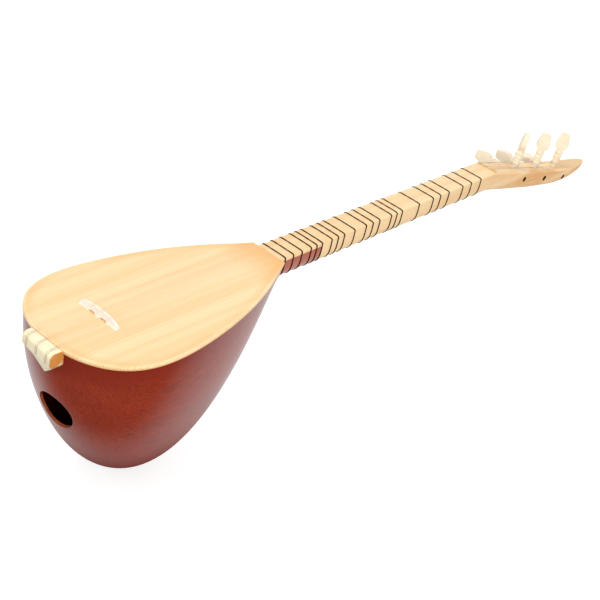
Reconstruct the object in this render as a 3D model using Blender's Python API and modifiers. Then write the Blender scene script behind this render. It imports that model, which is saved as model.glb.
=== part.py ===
"""A small long-necked lute with a deep carved bowl, tied frets and six pegs.

Every length is in metres. +Y runs along the strings to the head, +X is the
treble side and +Z stands out of the soundboard. The origin lies on the
soundboard's face, between the bridge and the neck.
"""
import math

import bpy
import bmesh
import numpy as np
from mathutils import Matrix, Vector

# the strings' layout along the instrument
SCALE_LENGTH = 0.520        # nut to bridge
ORIGIN_TO_BRIDGE = 0.060    # the bridge stands this far behind the origin
BRIDGE_TO_TAIL = 0.0546     # bridge to the tail end of the soundboard
LAST_FRET_TO_BOARD = 0.0063 # the last fret to the soundboard's neck end
HEEL_FRET = 18              # the bowl's heel ends under this fret
HEEL_UNDER_FRET = 0.0004    # and reaches this far past the fret's middle
OUTLINE_RUN_ON = 0.0100     # the board's outline would meet the neck this far past its end
CLEARANCE = 0.0003          # between two pieces that touch

# soundboard and bowl
BODY_WIDTH = 0.1432
BOARD_THICKNESS = 0.0034
BOARD_OVERHANG = 0.0021
BOARD_ROUND = 0.0015
MOUNT_HALF_WIDTH = 0.030    # the bare, flat field round the origin
MOUNT_TO_BRIDGE = 0.040     # how far it reaches from the origin towards the bridge
MOUNT_TO_NECK = 0.030
BOWL_DEPTH = 0.1590         # below the rim
BOWL_WALL = 0.0040
BOWL_END_EXTRA = 0.0022     # the bowl is this much deeper than the neck where they meet
HEEL_SOLID = 0.0180         # the hollow stops this far before the soundboard does
HEEL_BLEND = 0.0053         # the bowl narrows to the heel over this length
SOUND_HOLE_RADIUS = 0.0180
SOUND_HOLE_DOWN = 0.0660    # centre below the rim
SOUND_HOLE_OFFSET = 0.0050  # towards the treble side
SOUND_HOLE_TILT = 17.8      # degrees, the hole looks down by this much
PLAN_SHAPE = (1.0, -0.512, -0.715, 2.682, -1.753)
DEPTH_SHAPE = (1.0, 0.920, -1.096, 2.974, -3.682)
TAIL_SECTION = 1.9          # exponent of the bowl's cross-section at the tail
JOINT_SECTION = 3.2         # and at the neck joint

# neck
NUT_WIDTH = 0.0260
BODY_END_WIDTH = 0.0285
NECK_DEPTH = 0.0234
NECK_SECTION = 3.8
EDGE_CHAMFER = 0.0008

# tied frets, in cents above the open string
FRET_CENTS = (90, 150, 204, 294, 350, 400, 498, 620, 660, 702, 792, 845,
              900, 996, 1086, 1141, 1200, 1290, 1343, 1400, 1494, 1586, 1678)
FRET_WIDTH = 0.0011
FRET_HEIGHT = 0.0006
FRET_SEAT = 0.0002          # clearance under a fret

# head
HEAD_LENGTH = 0.2145
HEAD_TILT = 13.1            # degrees down from the fingerboard
HEAD_DROP = 0.0016          # its face starts this far below the fingerboard
HEAD_DEPTH = 0.0219
HEAD_TIP_RISE = 0.0070
HEAD_NARROWS_AT = 0.62      # share of its length where the plan starts to round

# nut and bridge
NUT_LENGTH = 0.0030
NUT_HEIGHT = 0.0012
BRIDGE_LENGTH = 0.0450
BRIDGE_HEIGHT = 0.0066
BRIDGE_BASE = 0.0048
BRIDGE_CREST = 0.0018
BRIDGE_END_HEIGHT = 0.0022
BRIDGE_OFFSET = -0.0029
BRIDGE_ARCH_WIDTH = 0.0078
BRIDGE_ARCH_HEIGHT = 0.0019
BRIDGE_ARCH_SPACING = 0.0136

# tail block
BLOCK_WIDTH = 0.0380
BLOCK_OUT_TREBLE = 0.0109   # past the tail end of the soundboard, at each end
BLOCK_OUT_BASS = 0.0076
BLOCK_ROUND = 0.0042
BLOCK_FACE_HEIGHT = 0.0100
BLOCK_END_HEIGHT = 0.0125
BLOCK_SHOULDER_BASS = (0.0088, 0.0165)     # out and down, where the apron starts
BLOCK_SHOULDER_TREBLE = (0.0095, 0.0222)
BLOCK_TIP_HEIGHT = 0.0310
BLOCK_TIP_THICKNESS = 0.0014
BLOCK_EDGE = 0.0008
BOARD_FLAT = 0.0013         # the soundboard's tail is cut flat by this much

# strings
STRING_RADIUS = 0.00013
STRING_PAIR = 0.0016        # between the two strings of a course
COURSES_AT_TAIL = 0.0130    # between neighbouring courses
COURSES_AT_BRIDGE = 0.0105
COURSES_AT_NUT = 0.0080
STRING_TIE_DOWN = 0.0100    # tie holes below the soundboard's face
STRING_TIE_RADIUS = 0.0006
STRING_TIE_DEPTH = 0.0040

# pegs
PEG_FIRST = 0.0593          # nut to the first front peg, along the head's face
PEG_PITCH = 0.0450
PEG_SIDE_STEP = 0.0090      # a side peg stands this far past its front peg
PEG_SIDE_DEPTH = 0.0079     # side pegs' axes below the head's face
PEG_RADIUS = 0.0040         # where the shaft enters the wood
PEG_END_RADIUS = 0.0028
PEG_TAPER_LENGTH = 0.0260
PEG_CLEARANCE = 0.00025
PEG_RECESS_FRONT = 0.0012   # the small end stops this far short of the far face
PEG_RECESS_SIDE = 0.0050
PEG_SHAFT = 0.0085
PEG_COLLAR_RADIUS = 0.0047
PEG_COLLAR_AT = 0.0165
PEG_HANDLE_AT = 0.0188
PEG_LENGTH = 0.0395
PEG_HANDLE_WIDTH = 0.0148
PEG_HANDLE_THICKNESS = 0.0068
WIND_TURNS = 4
WIND_PITCH = 0.0011
WIND_START = 0.0018
PEG_TURNS_FRONT = (-54.0, 36.0, 26.0)  # how each front handle stands, in degrees
PEG_TURNS_SIDE = (8.0, -14.0, 74.0)



def fret_reach(number):
    """The distance of a fret from the nut."""
    return SCALE_LENGTH * (1 - 2 ** (-FRET_CENTS[number - 1] / 1200))


# places that follow from the sizes above
NUT_TO_BOARD = fret_reach(len(FRET_CENTS)) + LAST_FRET_TO_BOARD
NUT_TO_HEEL = fret_reach(HEEL_FRET) + HEEL_UNDER_FRET
BRIDGE_Y = -ORIGIN_TO_BRIDGE
NUT_Y = BRIDGE_Y + SCALE_LENGTH
TAIL_Y = BRIDGE_Y - BRIDGE_TO_TAIL
BOARD_END_Y = NUT_Y - NUT_TO_BOARD
OUTLINE_END_Y = BOARD_END_Y + OUTLINE_RUN_ON
HEEL_END_Y = NUT_Y - NUT_TO_HEEL
RIM_Z = -BOARD_THICKNESS - CLEARANCE
BOWL_END_Y = OUTLINE_END_Y

WOODS = {
    "spruce": (0.86, 0.66, 0.38, 1.0),
    "mahogany": (0.20, 0.030, 0.018, 1.0),
    "beech": (0.80, 0.58, 0.34, 1.0),
    "maple": (0.88, 0.74, 0.50, 1.0),
    "boxwood": (0.90, 0.86, 0.74, 1.0),
}


# scene and materials

def clear_scene():
    for item in list(bpy.data.objects):
        bpy.data.objects.remove(item, do_unlink=True)
    for item in list(bpy.data.collections):
        bpy.data.collections.remove(item)


def make_collection(name):
    group = bpy.data.collections.new(name)
    bpy.context.scene.collection.children.link(group)
    return group


def material(name, colour, roughness=0.4, metallic=0.0):
    mat = bpy.data.materials.new(name)
    mat.use_nodes = True
    shader = mat.node_tree.nodes["Principled BSDF"]
    shader.inputs["Base Color"].default_value = colour
    shader.inputs["Roughness"].default_value = roughness
    shader.inputs["Metallic"].default_value = metallic
    mat.diffuse_color = colour
    return mat


class Kit:
    """The two collections that every piece goes into."""

    def __init__(self):
        self.parts = make_collection("cura_saz")
        self.cutters = make_collection("cutters")
        self.cutters.hide_render = True

    def part(self, name, mesh, mat):
        obj = bpy.data.objects.new(name, mesh)
        mesh.materials.clear()
        mesh.materials.append(mat)
        self.parts.objects.link(obj)
        return obj

    def cutter(self, name, mesh):
        obj = bpy.data.objects.new(name, mesh)
        obj.display_type = "WIRE"
        obj.hide_render = True
        self.cutters.objects.link(obj)
        return obj


# geometry helpers

def mesh_from_bmesh(name, bm):
    bmesh.ops.recalc_face_normals(bm, faces=bm.faces)
    mesh = bpy.data.meshes.new(name)
    bm.to_mesh(mesh)
    bm.free()
    return mesh


def loft(name, rings, closed_path=False):
    """Skin a row of closed rings that have the same number of points."""
    bm = bmesh.new()
    rows = [[bm.verts.new(p) for p in ring] for ring in rings]
    pairs = list(zip(rows, rows[1:]))
    if closed_path:
        pairs.append((rows[-1], rows[0]))
    count = len(rows[0])
    for a, b in pairs:
        for i in range(count):
            j = (i + 1) % count
            bm.faces.new((a[i], a[j], b[j], b[i]))
    if not closed_path:
        bm.faces.new(rows[0][::-1])
        bm.faces.new(rows[-1])
    return mesh_from_bmesh(name, bm)


def prism(name, outline, low, high, axis="Z"):
    """Extrude a closed outline between two heights along one axis."""
    place = {
        "X": lambda a, b, h: (h, a, b),
        "Y": lambda a, b, h: (a, h, b),
        "Z": lambda a, b, h: (a, b, h),
    }[axis]
    rings = [[place(a, b, h) for a, b in outline] for h in (low, high)]
    return loft(name, rings)


def box(name, low, high):
    outline = [(low[0], low[1]), (high[0], low[1]), (high[0], high[1]), (low[0], high[1])]
    return prism(name, outline, low[2], high[2])


def cone(name, radius_low, radius_high, low, high, matrix, sides=24):
    """A round, straight or tapered, solid along the matrix's Z axis."""
    angles = [2 * math.pi * i / sides for i in range(sides)]
    rings = [
        [matrix @ Vector((r * math.cos(a), r * math.sin(a), z)) for a in angles]
        for r, z in ((radius_low, low), (radius_high, high))
    ]
    return loft(name, rings)


def use_boolean(obj, cutter, operation="DIFFERENCE"):
    mod = obj.modifiers.new(cutter.name, "BOOLEAN")
    mod.operation = operation
    mod.solver = "EXACT"
    mod.object = cutter
    return mod


def power(value, exponent):
    return math.copysign(abs(value) ** exponent, value)


def belly_scale(shape, end, peak):
    """How strong the belly term must be for the widest point to reach the peak."""
    u = np.linspace(0.0, 1.0, 401)
    belly = np.sqrt(u) * (1 - u) * np.polyval(shape[::-1], u)
    low, high = 0.0, 10 * peak
    for _ in range(60):
        middle = (low + high) / 2
        if (end * u ** 2 + middle * belly).max() < peak:
            low = middle
        else:
            high = middle
    return low


class Swell:
    """A length that starts at nothing at the tail, swells and ends at the neck."""

    def __init__(self, shape, start, stop, end, peak):
        self.shape, self.start, self.stop, self.end = shape, start, stop, end
        self.scale = belly_scale(shape, end, peak)

    def __call__(self, y):
        u = min(max((y - self.start) / (self.stop - self.start), 0.0), 1.0)
        belly = math.sqrt(u) * (1 - u) * float(np.polyval(self.shape[::-1], u))
        return self.end * u ** 2 + self.scale * belly


def neck_half_width(y):
    share = (NUT_Y - y) / NUT_TO_BOARD
    return (NUT_WIDTH + (BODY_END_WIDTH - NUT_WIDTH) * share) / 2


def board_half_width():
    end = neck_half_width(OUTLINE_END_Y)
    return Swell(PLAN_SHAPE, TAIL_Y, OUTLINE_END_Y, end, BODY_WIDTH / 2)


def under_arc(half_width, top, depth, exponent, segments):
    """The lower half of a rounded section, from the treble edge to the bass edge."""
    points = []
    for i in range(segments + 1):
        a = math.pi * i / segments
        x = half_width * power(math.cos(a), 2 / exponent)
        z = top - depth * abs(math.sin(a)) ** (2 / exponent)
        points.append((x, z))
    return points


# soundboard

def board_stations(stations=34):
    """Places along the board's edge, close together at the tail, with the field's ends."""
    flat = TAIL_Y + BOARD_FLAT
    ys = [flat]
    for i in range(1, stations):
        y = TAIL_Y + (BOARD_END_Y - TAIL_Y) * (i / stations) ** 2
        if y > flat + BOARD_FLAT / 4:
            ys.append(y)
    ys.append(BOARD_END_Y)
    for end in (-MOUNT_TO_BRIDGE, MOUNT_TO_NECK):
        nearest = min(range(1, len(ys) - 1), key=lambda i: abs(ys[i] - end))
        ys[nearest] = end
    return ys


def board_mesh():
    """The board's two faces and edge; the top is divided round the flat field."""
    half = board_half_width()
    ys = board_stations()
    right = [(half(y), y) for y in ys]
    outline = right + [(-x, y) for x, y in reversed(right)]
    bm = bmesh.new()
    top = [bm.verts.new((x, y, 0.0)) for x, y in outline]
    low = [bm.verts.new((x, y, -BOARD_THICKNESS)) for x, y in outline]
    count = len(outline)
    for i in range(count):
        j = (i + 1) % count
        bm.faces.new((top[i], low[i], low[j], top[j]))
    bm.faces.new(low[::-1])
    a, b = ys.index(-MOUNT_TO_BRIDGE), ys.index(MOUNT_TO_NECK)
    corner = {(x, y): bm.verts.new((x * MOUNT_HALF_WIDTH, y, 0.0))
              for x in (-1, 1) for y in (ys[a], ys[b])}
    fa, fb = corner[(1, ys[a])], corner[(1, ys[b])]
    ga, gb = corner[(-1, ys[a])], corner[(-1, ys[b])]
    bm.faces.new(top[:a + 1] + [fa, ga] + top[count - 1 - a:])
    bm.faces.new(top[a:b + 1] + [fb, fa])
    bm.faces.new(top[b:count - b] + [gb, fb])
    bm.faces.new(top[count - 1 - b:count - a] + [ga, gb])
    bm.faces.new([fa, fb, gb, ga])
    return mesh_from_bmesh("soundboard", bm)


def make_soundboard(kit, mats):
    mesh = board_mesh()
    obj = kit.part("soundboard", mesh, mats["spruce"])
    bm = bmesh.new()
    bm.from_mesh(mesh)
    weights = bm.edges.layers.float.new("bevel_weight_edge")
    for edge in bm.edges:
        a, b = (v.co for v in edge.verts)
        top = abs(a.z) < 1e-6 and abs(b.z) < 1e-6 and edge.calc_face_angle() > 1
        at_neck = a.y > BOARD_END_Y - 1e-6 and b.y > BOARD_END_Y - 1e-6
        at_tail = a.y < TAIL_Y + BOARD_FLAT + 1e-6 and b.y < TAIL_Y + BOARD_FLAT + 1e-6
        if top and not at_neck and not at_tail:
            edge[weights] = 1.0
    bm.to_mesh(mesh)
    bm.free()
    bevel = obj.modifiers.new("rounded edge", "BEVEL")
    bevel.width = BOARD_ROUND
    bevel.segments = 3
    bevel.limit_method = "WEIGHT"
    return obj


# bowl

class BowlShape:
    """Half width, depth and section exponent of the bowl at a place along it."""

    def __init__(self, inset=0.0):
        start = TAIL_Y + inset
        plan_end = neck_half_width(OUTLINE_END_Y)
        trim = BOARD_OVERHANG + inset
        self.plan = Swell(PLAN_SHAPE, start, OUTLINE_END_Y, plan_end - trim, BODY_WIDTH / 2 - trim)
        self.joint = BOARD_END_Y
        depth_end = NECK_DEPTH + RIM_Z + BOWL_END_EXTRA - inset
        self.depth = Swell(DEPTH_SHAPE, start, self.joint, depth_end, BOWL_DEPTH - inset)
        self.start = start

    def at(self, y):
        u = min(max((y - self.start) / (self.joint - self.start), 0.0), 1.0)
        exponent = TAIL_SECTION + (JOINT_SECTION - TAIL_SECTION) * u ** 2
        return self.plan(y), self.depth(y), exponent


def heel_blend(y):
    """From 0 on the bowl to 1 on the heel under the neck."""
    share = min(max((y - BOARD_END_Y) / HEEL_BLEND, 0.0), 1.0)
    return share * share * (3 - 2 * share)


def heel_arc(y, segments):
    """The neck's own section below the rim, so that the heel runs on from it."""
    centre = -EDGE_CHAMFER
    depth = NECK_DEPTH - EDGE_CHAMFER
    first = math.asin(((centre - RIM_Z) / depth) ** (NECK_SECTION / 2))
    half = neck_half_width(y)
    points = []
    for i in range(segments + 1):
        a = first + (math.pi - 2 * first) * i / segments
        x = half * power(math.cos(a), 2 / NECK_SECTION)
        points.append((x, centre - depth * math.sin(a) ** (2 / NECK_SECTION)))
    return points


def bowl_ring(shape, y, grow, segments):
    plan, depth, exponent = shape.at(y)
    k = heel_blend(y)
    arc = under_arc(plan + grow, RIM_Z, depth + grow, exponent, segments)
    heel = heel_arc(y, segments)
    return [(a[0] * (1 - k) + b[0] * k, y, a[1] * (1 - k) + b[1] * k) for a, b in zip(arc, heel)]


def bowl_stations(start, stop, count):
    """Places along the bowl, close together at the blunt tail."""
    return [start + (stop - start) * (max(i, 0.6) / count) ** 2 for i in range(count + 1)]


def bowl_outer(grow=0.0, segments=26, count=25):
    """The outer skin, moved outwards and towards the tail to cut what seats on it."""
    shape = BowlShape()
    ys = bowl_stations(TAIL_Y, shape.joint, count)
    steps = 5
    ys += [BOARD_END_Y + HEEL_BLEND * i / steps for i in range(1, steps + 1)]
    ys.append(HEEL_END_Y)
    rings = [bowl_ring(shape, y, grow, segments) for y in ys]
    return [[(x, y - grow, z) for x, y, z in ring] for ring in rings]


def bowl_inner(segments=22, count=17):
    """The hollow, with its walls carried straight up through the rim."""
    shape = BowlShape(inset=BOWL_WALL)
    stop = BOARD_END_Y - HEEL_SOLID
    rings = []
    for y in bowl_stations(shape.start, stop, count):
        plan, depth, exponent = shape.at(y)
        arc = under_arc(plan, RIM_Z, depth, exponent, segments)
        lid = RIM_Z + BOWL_WALL
        ring = [(plan, y, lid)] + [(x, y, z) for x, z in arc] + [(-plan, y, lid)]
        rings.append(ring)
    return rings


def hole_matrix():
    """Centre of the sound hole on the bowl's tail, with Z along the hole's axis."""
    shape = BowlShape()
    low, high = TAIL_Y, BRIDGE_Y
    for _ in range(50):
        y = (low + high) / 2
        plan, depth, n = shape.at(y)
        share = min(abs(SOUND_HOLE_OFFSET) / max(plan, 1e-6), 1.0)
        here = depth * (1 - share ** n) ** (1 / n)
        if here < SOUND_HOLE_DOWN:
            low = y
        else:
            high = y
    centre = Vector((SOUND_HOLE_OFFSET, y, RIM_Z - SOUND_HOLE_DOWN))
    turn = Matrix.Rotation(math.radians(90 + SOUND_HOLE_TILT), 4, "X")
    return Matrix.Translation(centre) @ turn


def make_bowl(kit, mats):
    obj = kit.part("bowl", loft("bowl", bowl_outer()), mats["mahogany"])
    hollow = kit.cutter("bowl hollow", loft("bowl hollow", bowl_inner()))
    use_boolean(obj, hollow)
    reach = 4 * BOWL_WALL
    drill = cone("sound hole", SOUND_HOLE_RADIUS, SOUND_HOLE_RADIUS, -reach, reach,
                 hole_matrix(), sides=32)
    use_boolean(obj, kit.cutter("sound hole", drill))
    return obj


# tail block

def block_face(x):
    """The block's front face; the block is thinner at its bass end."""
    share = x / BLOCK_WIDTH + 0.5
    return TAIL_Y - BLOCK_OUT_BASS - (BLOCK_OUT_TREBLE - BLOCK_OUT_BASS) * share


def block_profile(x):
    """Side view of the block, from its seat against the body round to the tip."""
    inner = TAIL_Y + BOARD_FLAT - CLEARANCE
    back = TAIL_Y + 8 * BOWL_WALL
    face = block_face(x)
    points = [(inner, 0.0)]
    for i in range(6):
        a = math.radians(90 + 90 * i / 5)
        points.append((face + BLOCK_ROUND * (1 + math.cos(a)), BLOCK_ROUND * (math.sin(a) - 1)))
    points.append((face, -BLOCK_FACE_HEIGHT))
    points.append((TAIL_Y + BLOCK_TIP_THICKNESS, -BLOCK_TIP_HEIGHT))
    points.append((back, -BLOCK_TIP_HEIGHT))
    points.append((back, RIM_Z))
    points.append((inner, RIM_Z))
    return points


def block_shield():
    """Front view of the block: straight ends and a pointed apron."""
    side = BLOCK_WIDTH
    half = BLOCK_WIDTH / 2
    bass, treble = BLOCK_SHOULDER_BASS, BLOCK_SHOULDER_TREBLE
    above = BLOCK_ROUND
    return [(side, above), (-side, above), (-side, -BLOCK_END_HEIGHT), (-half, -BLOCK_END_HEIGHT),
            (-bass[0], -bass[1]), (0.0, -BLOCK_TIP_HEIGHT), (treble[0], -treble[1]),
            (half, -BLOCK_END_HEIGHT), (side, -BLOCK_END_HEIGHT)]


def string_x(index, spacing):
    """Sideways place of one of the six strings where courses have this spacing."""
    course, second = divmod(index, 2)
    return (course - 1) * spacing + (second - 0.5) * STRING_PAIR


def make_tail_block(kit, mats):
    half = BLOCK_WIDTH / 2
    rings = [[(x, y, z) for y, z in block_profile(x)] for x in (-half, half)]
    obj = kit.part("tail_block", loft("tail_block", rings), mats["maple"])
    out = block_face(half) - BLOCK_ROUND
    shield = prism("block shield", block_shield(), out, TAIL_Y + 12 * BOWL_WALL, axis="Y")
    use_boolean(obj, kit.cutter("block shield", shield), "INTERSECT")
    bevel = obj.modifiers.new("sanded edges", "BEVEL")
    bevel.width = BLOCK_EDGE
    bevel.segments = 2
    bevel.limit_method = "ANGLE"
    bevel.angle_limit = math.radians(42)
    seat = kit.cutter("bowl seat", loft("bowl seat", bowl_outer(grow=CLEARANCE, count=25)))
    use_boolean(obj, seat)
    for i in range(6):
        x = string_x(i, COURSES_AT_TAIL)
        centre = Vector((x, block_face(x), -STRING_TIE_DOWN))
        turn = Matrix.Translation(centre) @ Matrix.Rotation(math.radians(-90), 4, "X")
        name = "tie hole %d" % (i + 1)
        drill = cone(name, STRING_TIE_RADIUS, STRING_TIE_RADIUS, -STRING_TIE_DEPTH / 2,
                     STRING_TIE_DEPTH, turn, sides=8)
        use_boolean(obj, kit.cutter(name, drill))
    return obj


# neck

def neck_ring(y, segments=16):
    half = neck_half_width(y)
    arc = under_arc(half, -EDGE_CHAMFER, NECK_DEPTH - EDGE_CHAMFER, NECK_SECTION, segments)
    ring = [(half - EDGE_CHAMFER, 0.0)] + arc + [(-half + EDGE_CHAMFER, 0.0)]
    return [(x, y, z) for x, z in ring]


def make_neck(kit, mats):
    rings = [neck_ring(BOARD_END_Y + CLEARANCE), neck_ring(NUT_Y)]
    obj = kit.part("neck", loft("neck", rings), mats["beech"])
    wide = BODY_END_WIDTH
    low = (-wide, BOARD_END_Y - 0.01, -2 * NECK_DEPTH)
    high = (wide, HEEL_END_Y + CLEARANCE, -BOARD_THICKNESS)
    use_boolean(obj, kit.cutter("heel lap", box("heel lap", low, high)))
    return obj


def offset_ring(points, distance):
    """Move a closed outline outwards, keeping its corners mitred."""
    count = len(points)
    area = sum(points[i][0] * points[(i + 1) % count][1] - points[(i + 1) % count][0] * points[i][1]
               for i in range(count))
    side = 1.0 if area > 0 else -1.0
    moved = []
    for i in range(count):
        p, q, r = (Vector(points[k % count]) for k in (i - 1, i, i + 1))
        first = (q - p).normalized()
        second = (r - q).normalized()
        n1 = Vector((first.y, -first.x)) * side
        n2 = Vector((second.y, -second.x)) * side
        mitre = (n1 + n2) / (1 + n1.dot(n2))
        moved.append(tuple(q + mitre * distance))
    return moved


def fret_mesh(name, y):
    """One tied fret: a flat-bottomed band round the whole neck."""
    outline = [(x, z) for x, _, z in neck_ring(y)]
    inner = offset_ring(outline, FRET_SEAT)
    outer = offset_ring(outline, FRET_SEAT + FRET_HEIGHT)
    wide, narrow = FRET_WIDTH / 2, FRET_WIDTH / 3
    rings = []
    for (xi, zi), (xo, zo) in zip(inner, outer):
        rings.append([(xi, y - wide, zi), (xo, y - narrow, zo),
                      (xo, y + narrow, zo), (xi, y + wide, zi)])
    return loft(name, rings, closed_path=True)


def make_frets(kit, mats):
    for number in range(1, len(FRET_CENTS) + 1):
        name = "fret_%02d" % number
        kit.part(name, fret_mesh(name, NUT_Y - fret_reach(number)), mats["gut"])


# head

def head_matrix():
    """The head's own frame: Y along its face away from the nut, Z out of its face."""
    place = Matrix.Translation((0.0, NUT_Y, -HEAD_DROP))
    return place @ Matrix.Rotation(math.radians(-HEAD_TILT), 4, "X")


def head_half_width(s):
    t = s / HEAD_LENGTH
    if t <= HEAD_NARROWS_AT:
        return NUT_WIDTH / 2
    share = (t - HEAD_NARROWS_AT) / (1 - HEAD_NARROWS_AT)
    return NUT_WIDTH / 2 * math.sqrt(max(1 - share ** 2.2, 0.0))


def head_depth(s):
    t = min(max(s / HEAD_LENGTH, 0.0), 1.0)
    return HEAD_DEPTH * (1 - t ** 3.5) ** 0.7


def head_rise(s):
    t = max(s / HEAD_LENGTH - HEAD_NARROWS_AT, 0.0) / (1 - HEAD_NARROWS_AT)
    return HEAD_TIP_RISE * t * t


def head_ring(s, matrix, segments=16):
    half, top, low = head_half_width(s), head_rise(s), head_depth(s)
    edge = min(EDGE_CHAMFER, half / 3)
    arc = under_arc(half, top - edge, low + top - edge, NECK_SECTION, segments)
    ring = [(half - edge, top)] + arc + [(-half + edge, top)]
    return [matrix @ Vector((x, s, z)) for x, z in ring]


def front_peg_matrix(index):
    s = PEG_FIRST + PEG_PITCH * index
    return head_matrix() @ Matrix.Translation((0.0, s, 0.0)), head_depth(s)


def side_peg_matrix(index):
    s = PEG_FIRST + PEG_SIDE_STEP + PEG_PITCH * index
    half = head_half_width(s)
    place = Matrix.Translation((-half, s, -PEG_SIDE_DEPTH))
    return head_matrix() @ place @ Matrix.Rotation(math.radians(-90), 4, "Y"), 2 * half


def peg_radius(depth):
    """The shaft's radius this far inside the wood."""
    return PEG_RADIUS + (PEG_END_RADIUS - PEG_RADIUS) * depth / PEG_TAPER_LENGTH


def peg_places():
    """Name, frame, depth of the hole, recess of the small end and turn of each peg."""
    places = []
    for i in range(3):
        name = "front_peg_%d" % (i + 1)
        places.append((name, *front_peg_matrix(i), PEG_RECESS_FRONT, PEG_TURNS_FRONT[i]))
    for i in range(3):
        name = "side_peg_%d" % (i + 1)
        places.append((name, *side_peg_matrix(i), PEG_RECESS_SIDE, PEG_TURNS_SIDE[i]))
    return places


def make_headstock(kit, mats):
    matrix = head_matrix()
    shares = (-0.04, 0.30, 0.50, 0.60, 0.68, 0.75, 0.81, 0.86, 0.90, 0.94, 0.97, 0.99, 0.999)
    rings = [head_ring(t * HEAD_LENGTH, matrix) for t in shares]
    obj = kit.part("headstock", loft("headstock", rings), mats["beech"])
    low = (-NUT_WIDTH, NUT_Y - 0.05, -3 * NECK_DEPTH)
    high = (NUT_WIDTH, NUT_Y + CLEARANCE, NECK_DEPTH)
    use_boolean(obj, kit.cutter("head joint", box("head joint", low, high)))
    for name, place, through, _, _ in peg_places():
        over = 0.004
        drill = cone(name + " hole", peg_radius(through + over) + PEG_CLEARANCE,
                     peg_radius(-over) + PEG_CLEARANCE, -through - over, over, place, sides=20)
        use_boolean(obj, kit.cutter(name + " hole", drill))
    return obj


def make_nut(kit, mats):
    slope = math.tan(math.radians(HEAD_TILT))
    front = NUT_Y + CLEARANCE
    back = front + NUT_LENGTH
    seat = -HEAD_DROP + CLEARANCE / math.cos(math.radians(HEAD_TILT))
    outline = [(front, seat - slope * CLEARANCE), (back, seat - slope * (NUT_LENGTH + CLEARANCE)),
               (back, NUT_HEIGHT * 0.2), (back - NUT_LENGTH * 0.25, NUT_HEIGHT * 0.8),
               (back - NUT_LENGTH * 0.55, NUT_HEIGHT), (front + NUT_LENGTH * 0.1, NUT_HEIGHT),
               (front, NUT_HEIGHT * 0.85)]
    half = NUT_WIDTH / 2 - EDGE_CHAMFER / 2
    mesh = prism("nut", outline, -half, half, axis="X")
    return kit.part("nut", mesh, mats["maple"])


# bridge

def bridge_top(x):
    """Height of the bridge's crest at a distance from its own middle."""
    share = min(abs(x) / (BRIDGE_LENGTH / 2), 1.0)
    return BRIDGE_END_HEIGHT + (BRIDGE_HEIGHT - BRIDGE_END_HEIGHT) * (1 - share ** 3.2)


def bridge_ring(x):
    seat, top = CLEARANCE, CLEARANCE + bridge_top(x)
    base, crest = BRIDGE_BASE / 2, BRIDGE_CREST / 2
    lean = base + (crest - base) * 0.35
    shoulder = seat + (top - seat) * 0.35
    return [(x + BRIDGE_OFFSET, BRIDGE_Y + y, z) for y, z in
            ((base, seat), (lean, shoulder), (crest, top - 0.0003), (0.0, top),
             (-crest, top - 0.0003), (-lean, shoulder), (-base, seat))]


def make_bridge(kit, mats):
    half = BRIDGE_LENGTH / 2
    xs = [half * math.sin(math.pi / 2 * i / 9) for i in range(-9, 10)]
    obj = kit.part("bridge", loft("bridge", [bridge_ring(x) for x in xs]), mats["boxwood"])
    for side in (-1, 1):
        middle = BRIDGE_OFFSET + side * BRIDGE_ARCH_SPACING / 2
        arch = []
        for i in range(9):
            a = math.pi * i / 8
            arch.append((middle + BRIDGE_ARCH_WIDTH / 2 * math.cos(a),
                         CLEARANCE + BRIDGE_ARCH_HEIGHT * math.sin(a)))
        arch += [(middle - BRIDGE_ARCH_WIDTH / 2, -0.002), (middle + BRIDGE_ARCH_WIDTH / 2, -0.002)]
        name = "bridge arch %s" % ("bass" if side < 0 else "treble")
        cutter = prism(name, arch, BRIDGE_Y - BRIDGE_BASE, BRIDGE_Y + BRIDGE_BASE, axis="Y")
        use_boolean(obj, kit.cutter(name, cutter))
    return obj


# pegs and strings

def peg_turned_mesh(end):
    """The turned part of a peg, standing on Z with the wood's surface at 0."""
    collar = PEG_COLLAR_RADIUS
    waist = PEG_RADIUS * 0.86
    profile = [(0.0, -end), (peg_radius(end), -end), (PEG_RADIUS, 0.0), (PEG_RADIUS * 0.94, PEG_SHAFT),
               (PEG_RADIUS * 1.14, PEG_SHAFT + 0.0012), (waist, PEG_SHAFT + 0.0026),
               (PEG_RADIUS * 1.18, PEG_SHAFT + 0.0042), (waist, PEG_SHAFT + 0.0058),
               (collar * 0.92, PEG_COLLAR_AT - 0.0008), (collar, PEG_COLLAR_AT + 0.0006),
               (collar * 0.9, PEG_COLLAR_AT + 0.0016), (waist, PEG_HANDLE_AT + 0.0004),
               (waist * 0.8, PEG_HANDLE_AT + 0.0040), (0.0, PEG_HANDLE_AT + 0.0040)]
    bm = bmesh.new()
    row = [bm.verts.new((r, 0.0, z)) for r, z in profile]
    for a, b in zip(row, row[1:]):
        bm.edges.new((a, b))
    mesh = bpy.data.meshes.new("peg profile")
    bm.to_mesh(mesh)
    bm.free()
    return mesh


def add_screw(obj, steps=16):
    mod = obj.modifiers.new("turned", "SCREW")
    mod.steps = steps
    mod.render_steps = steps
    mod.use_merge_vertices = True
    mod.merge_threshold = 0.00005
    mod.use_normal_calculate = True
    return mod


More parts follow.
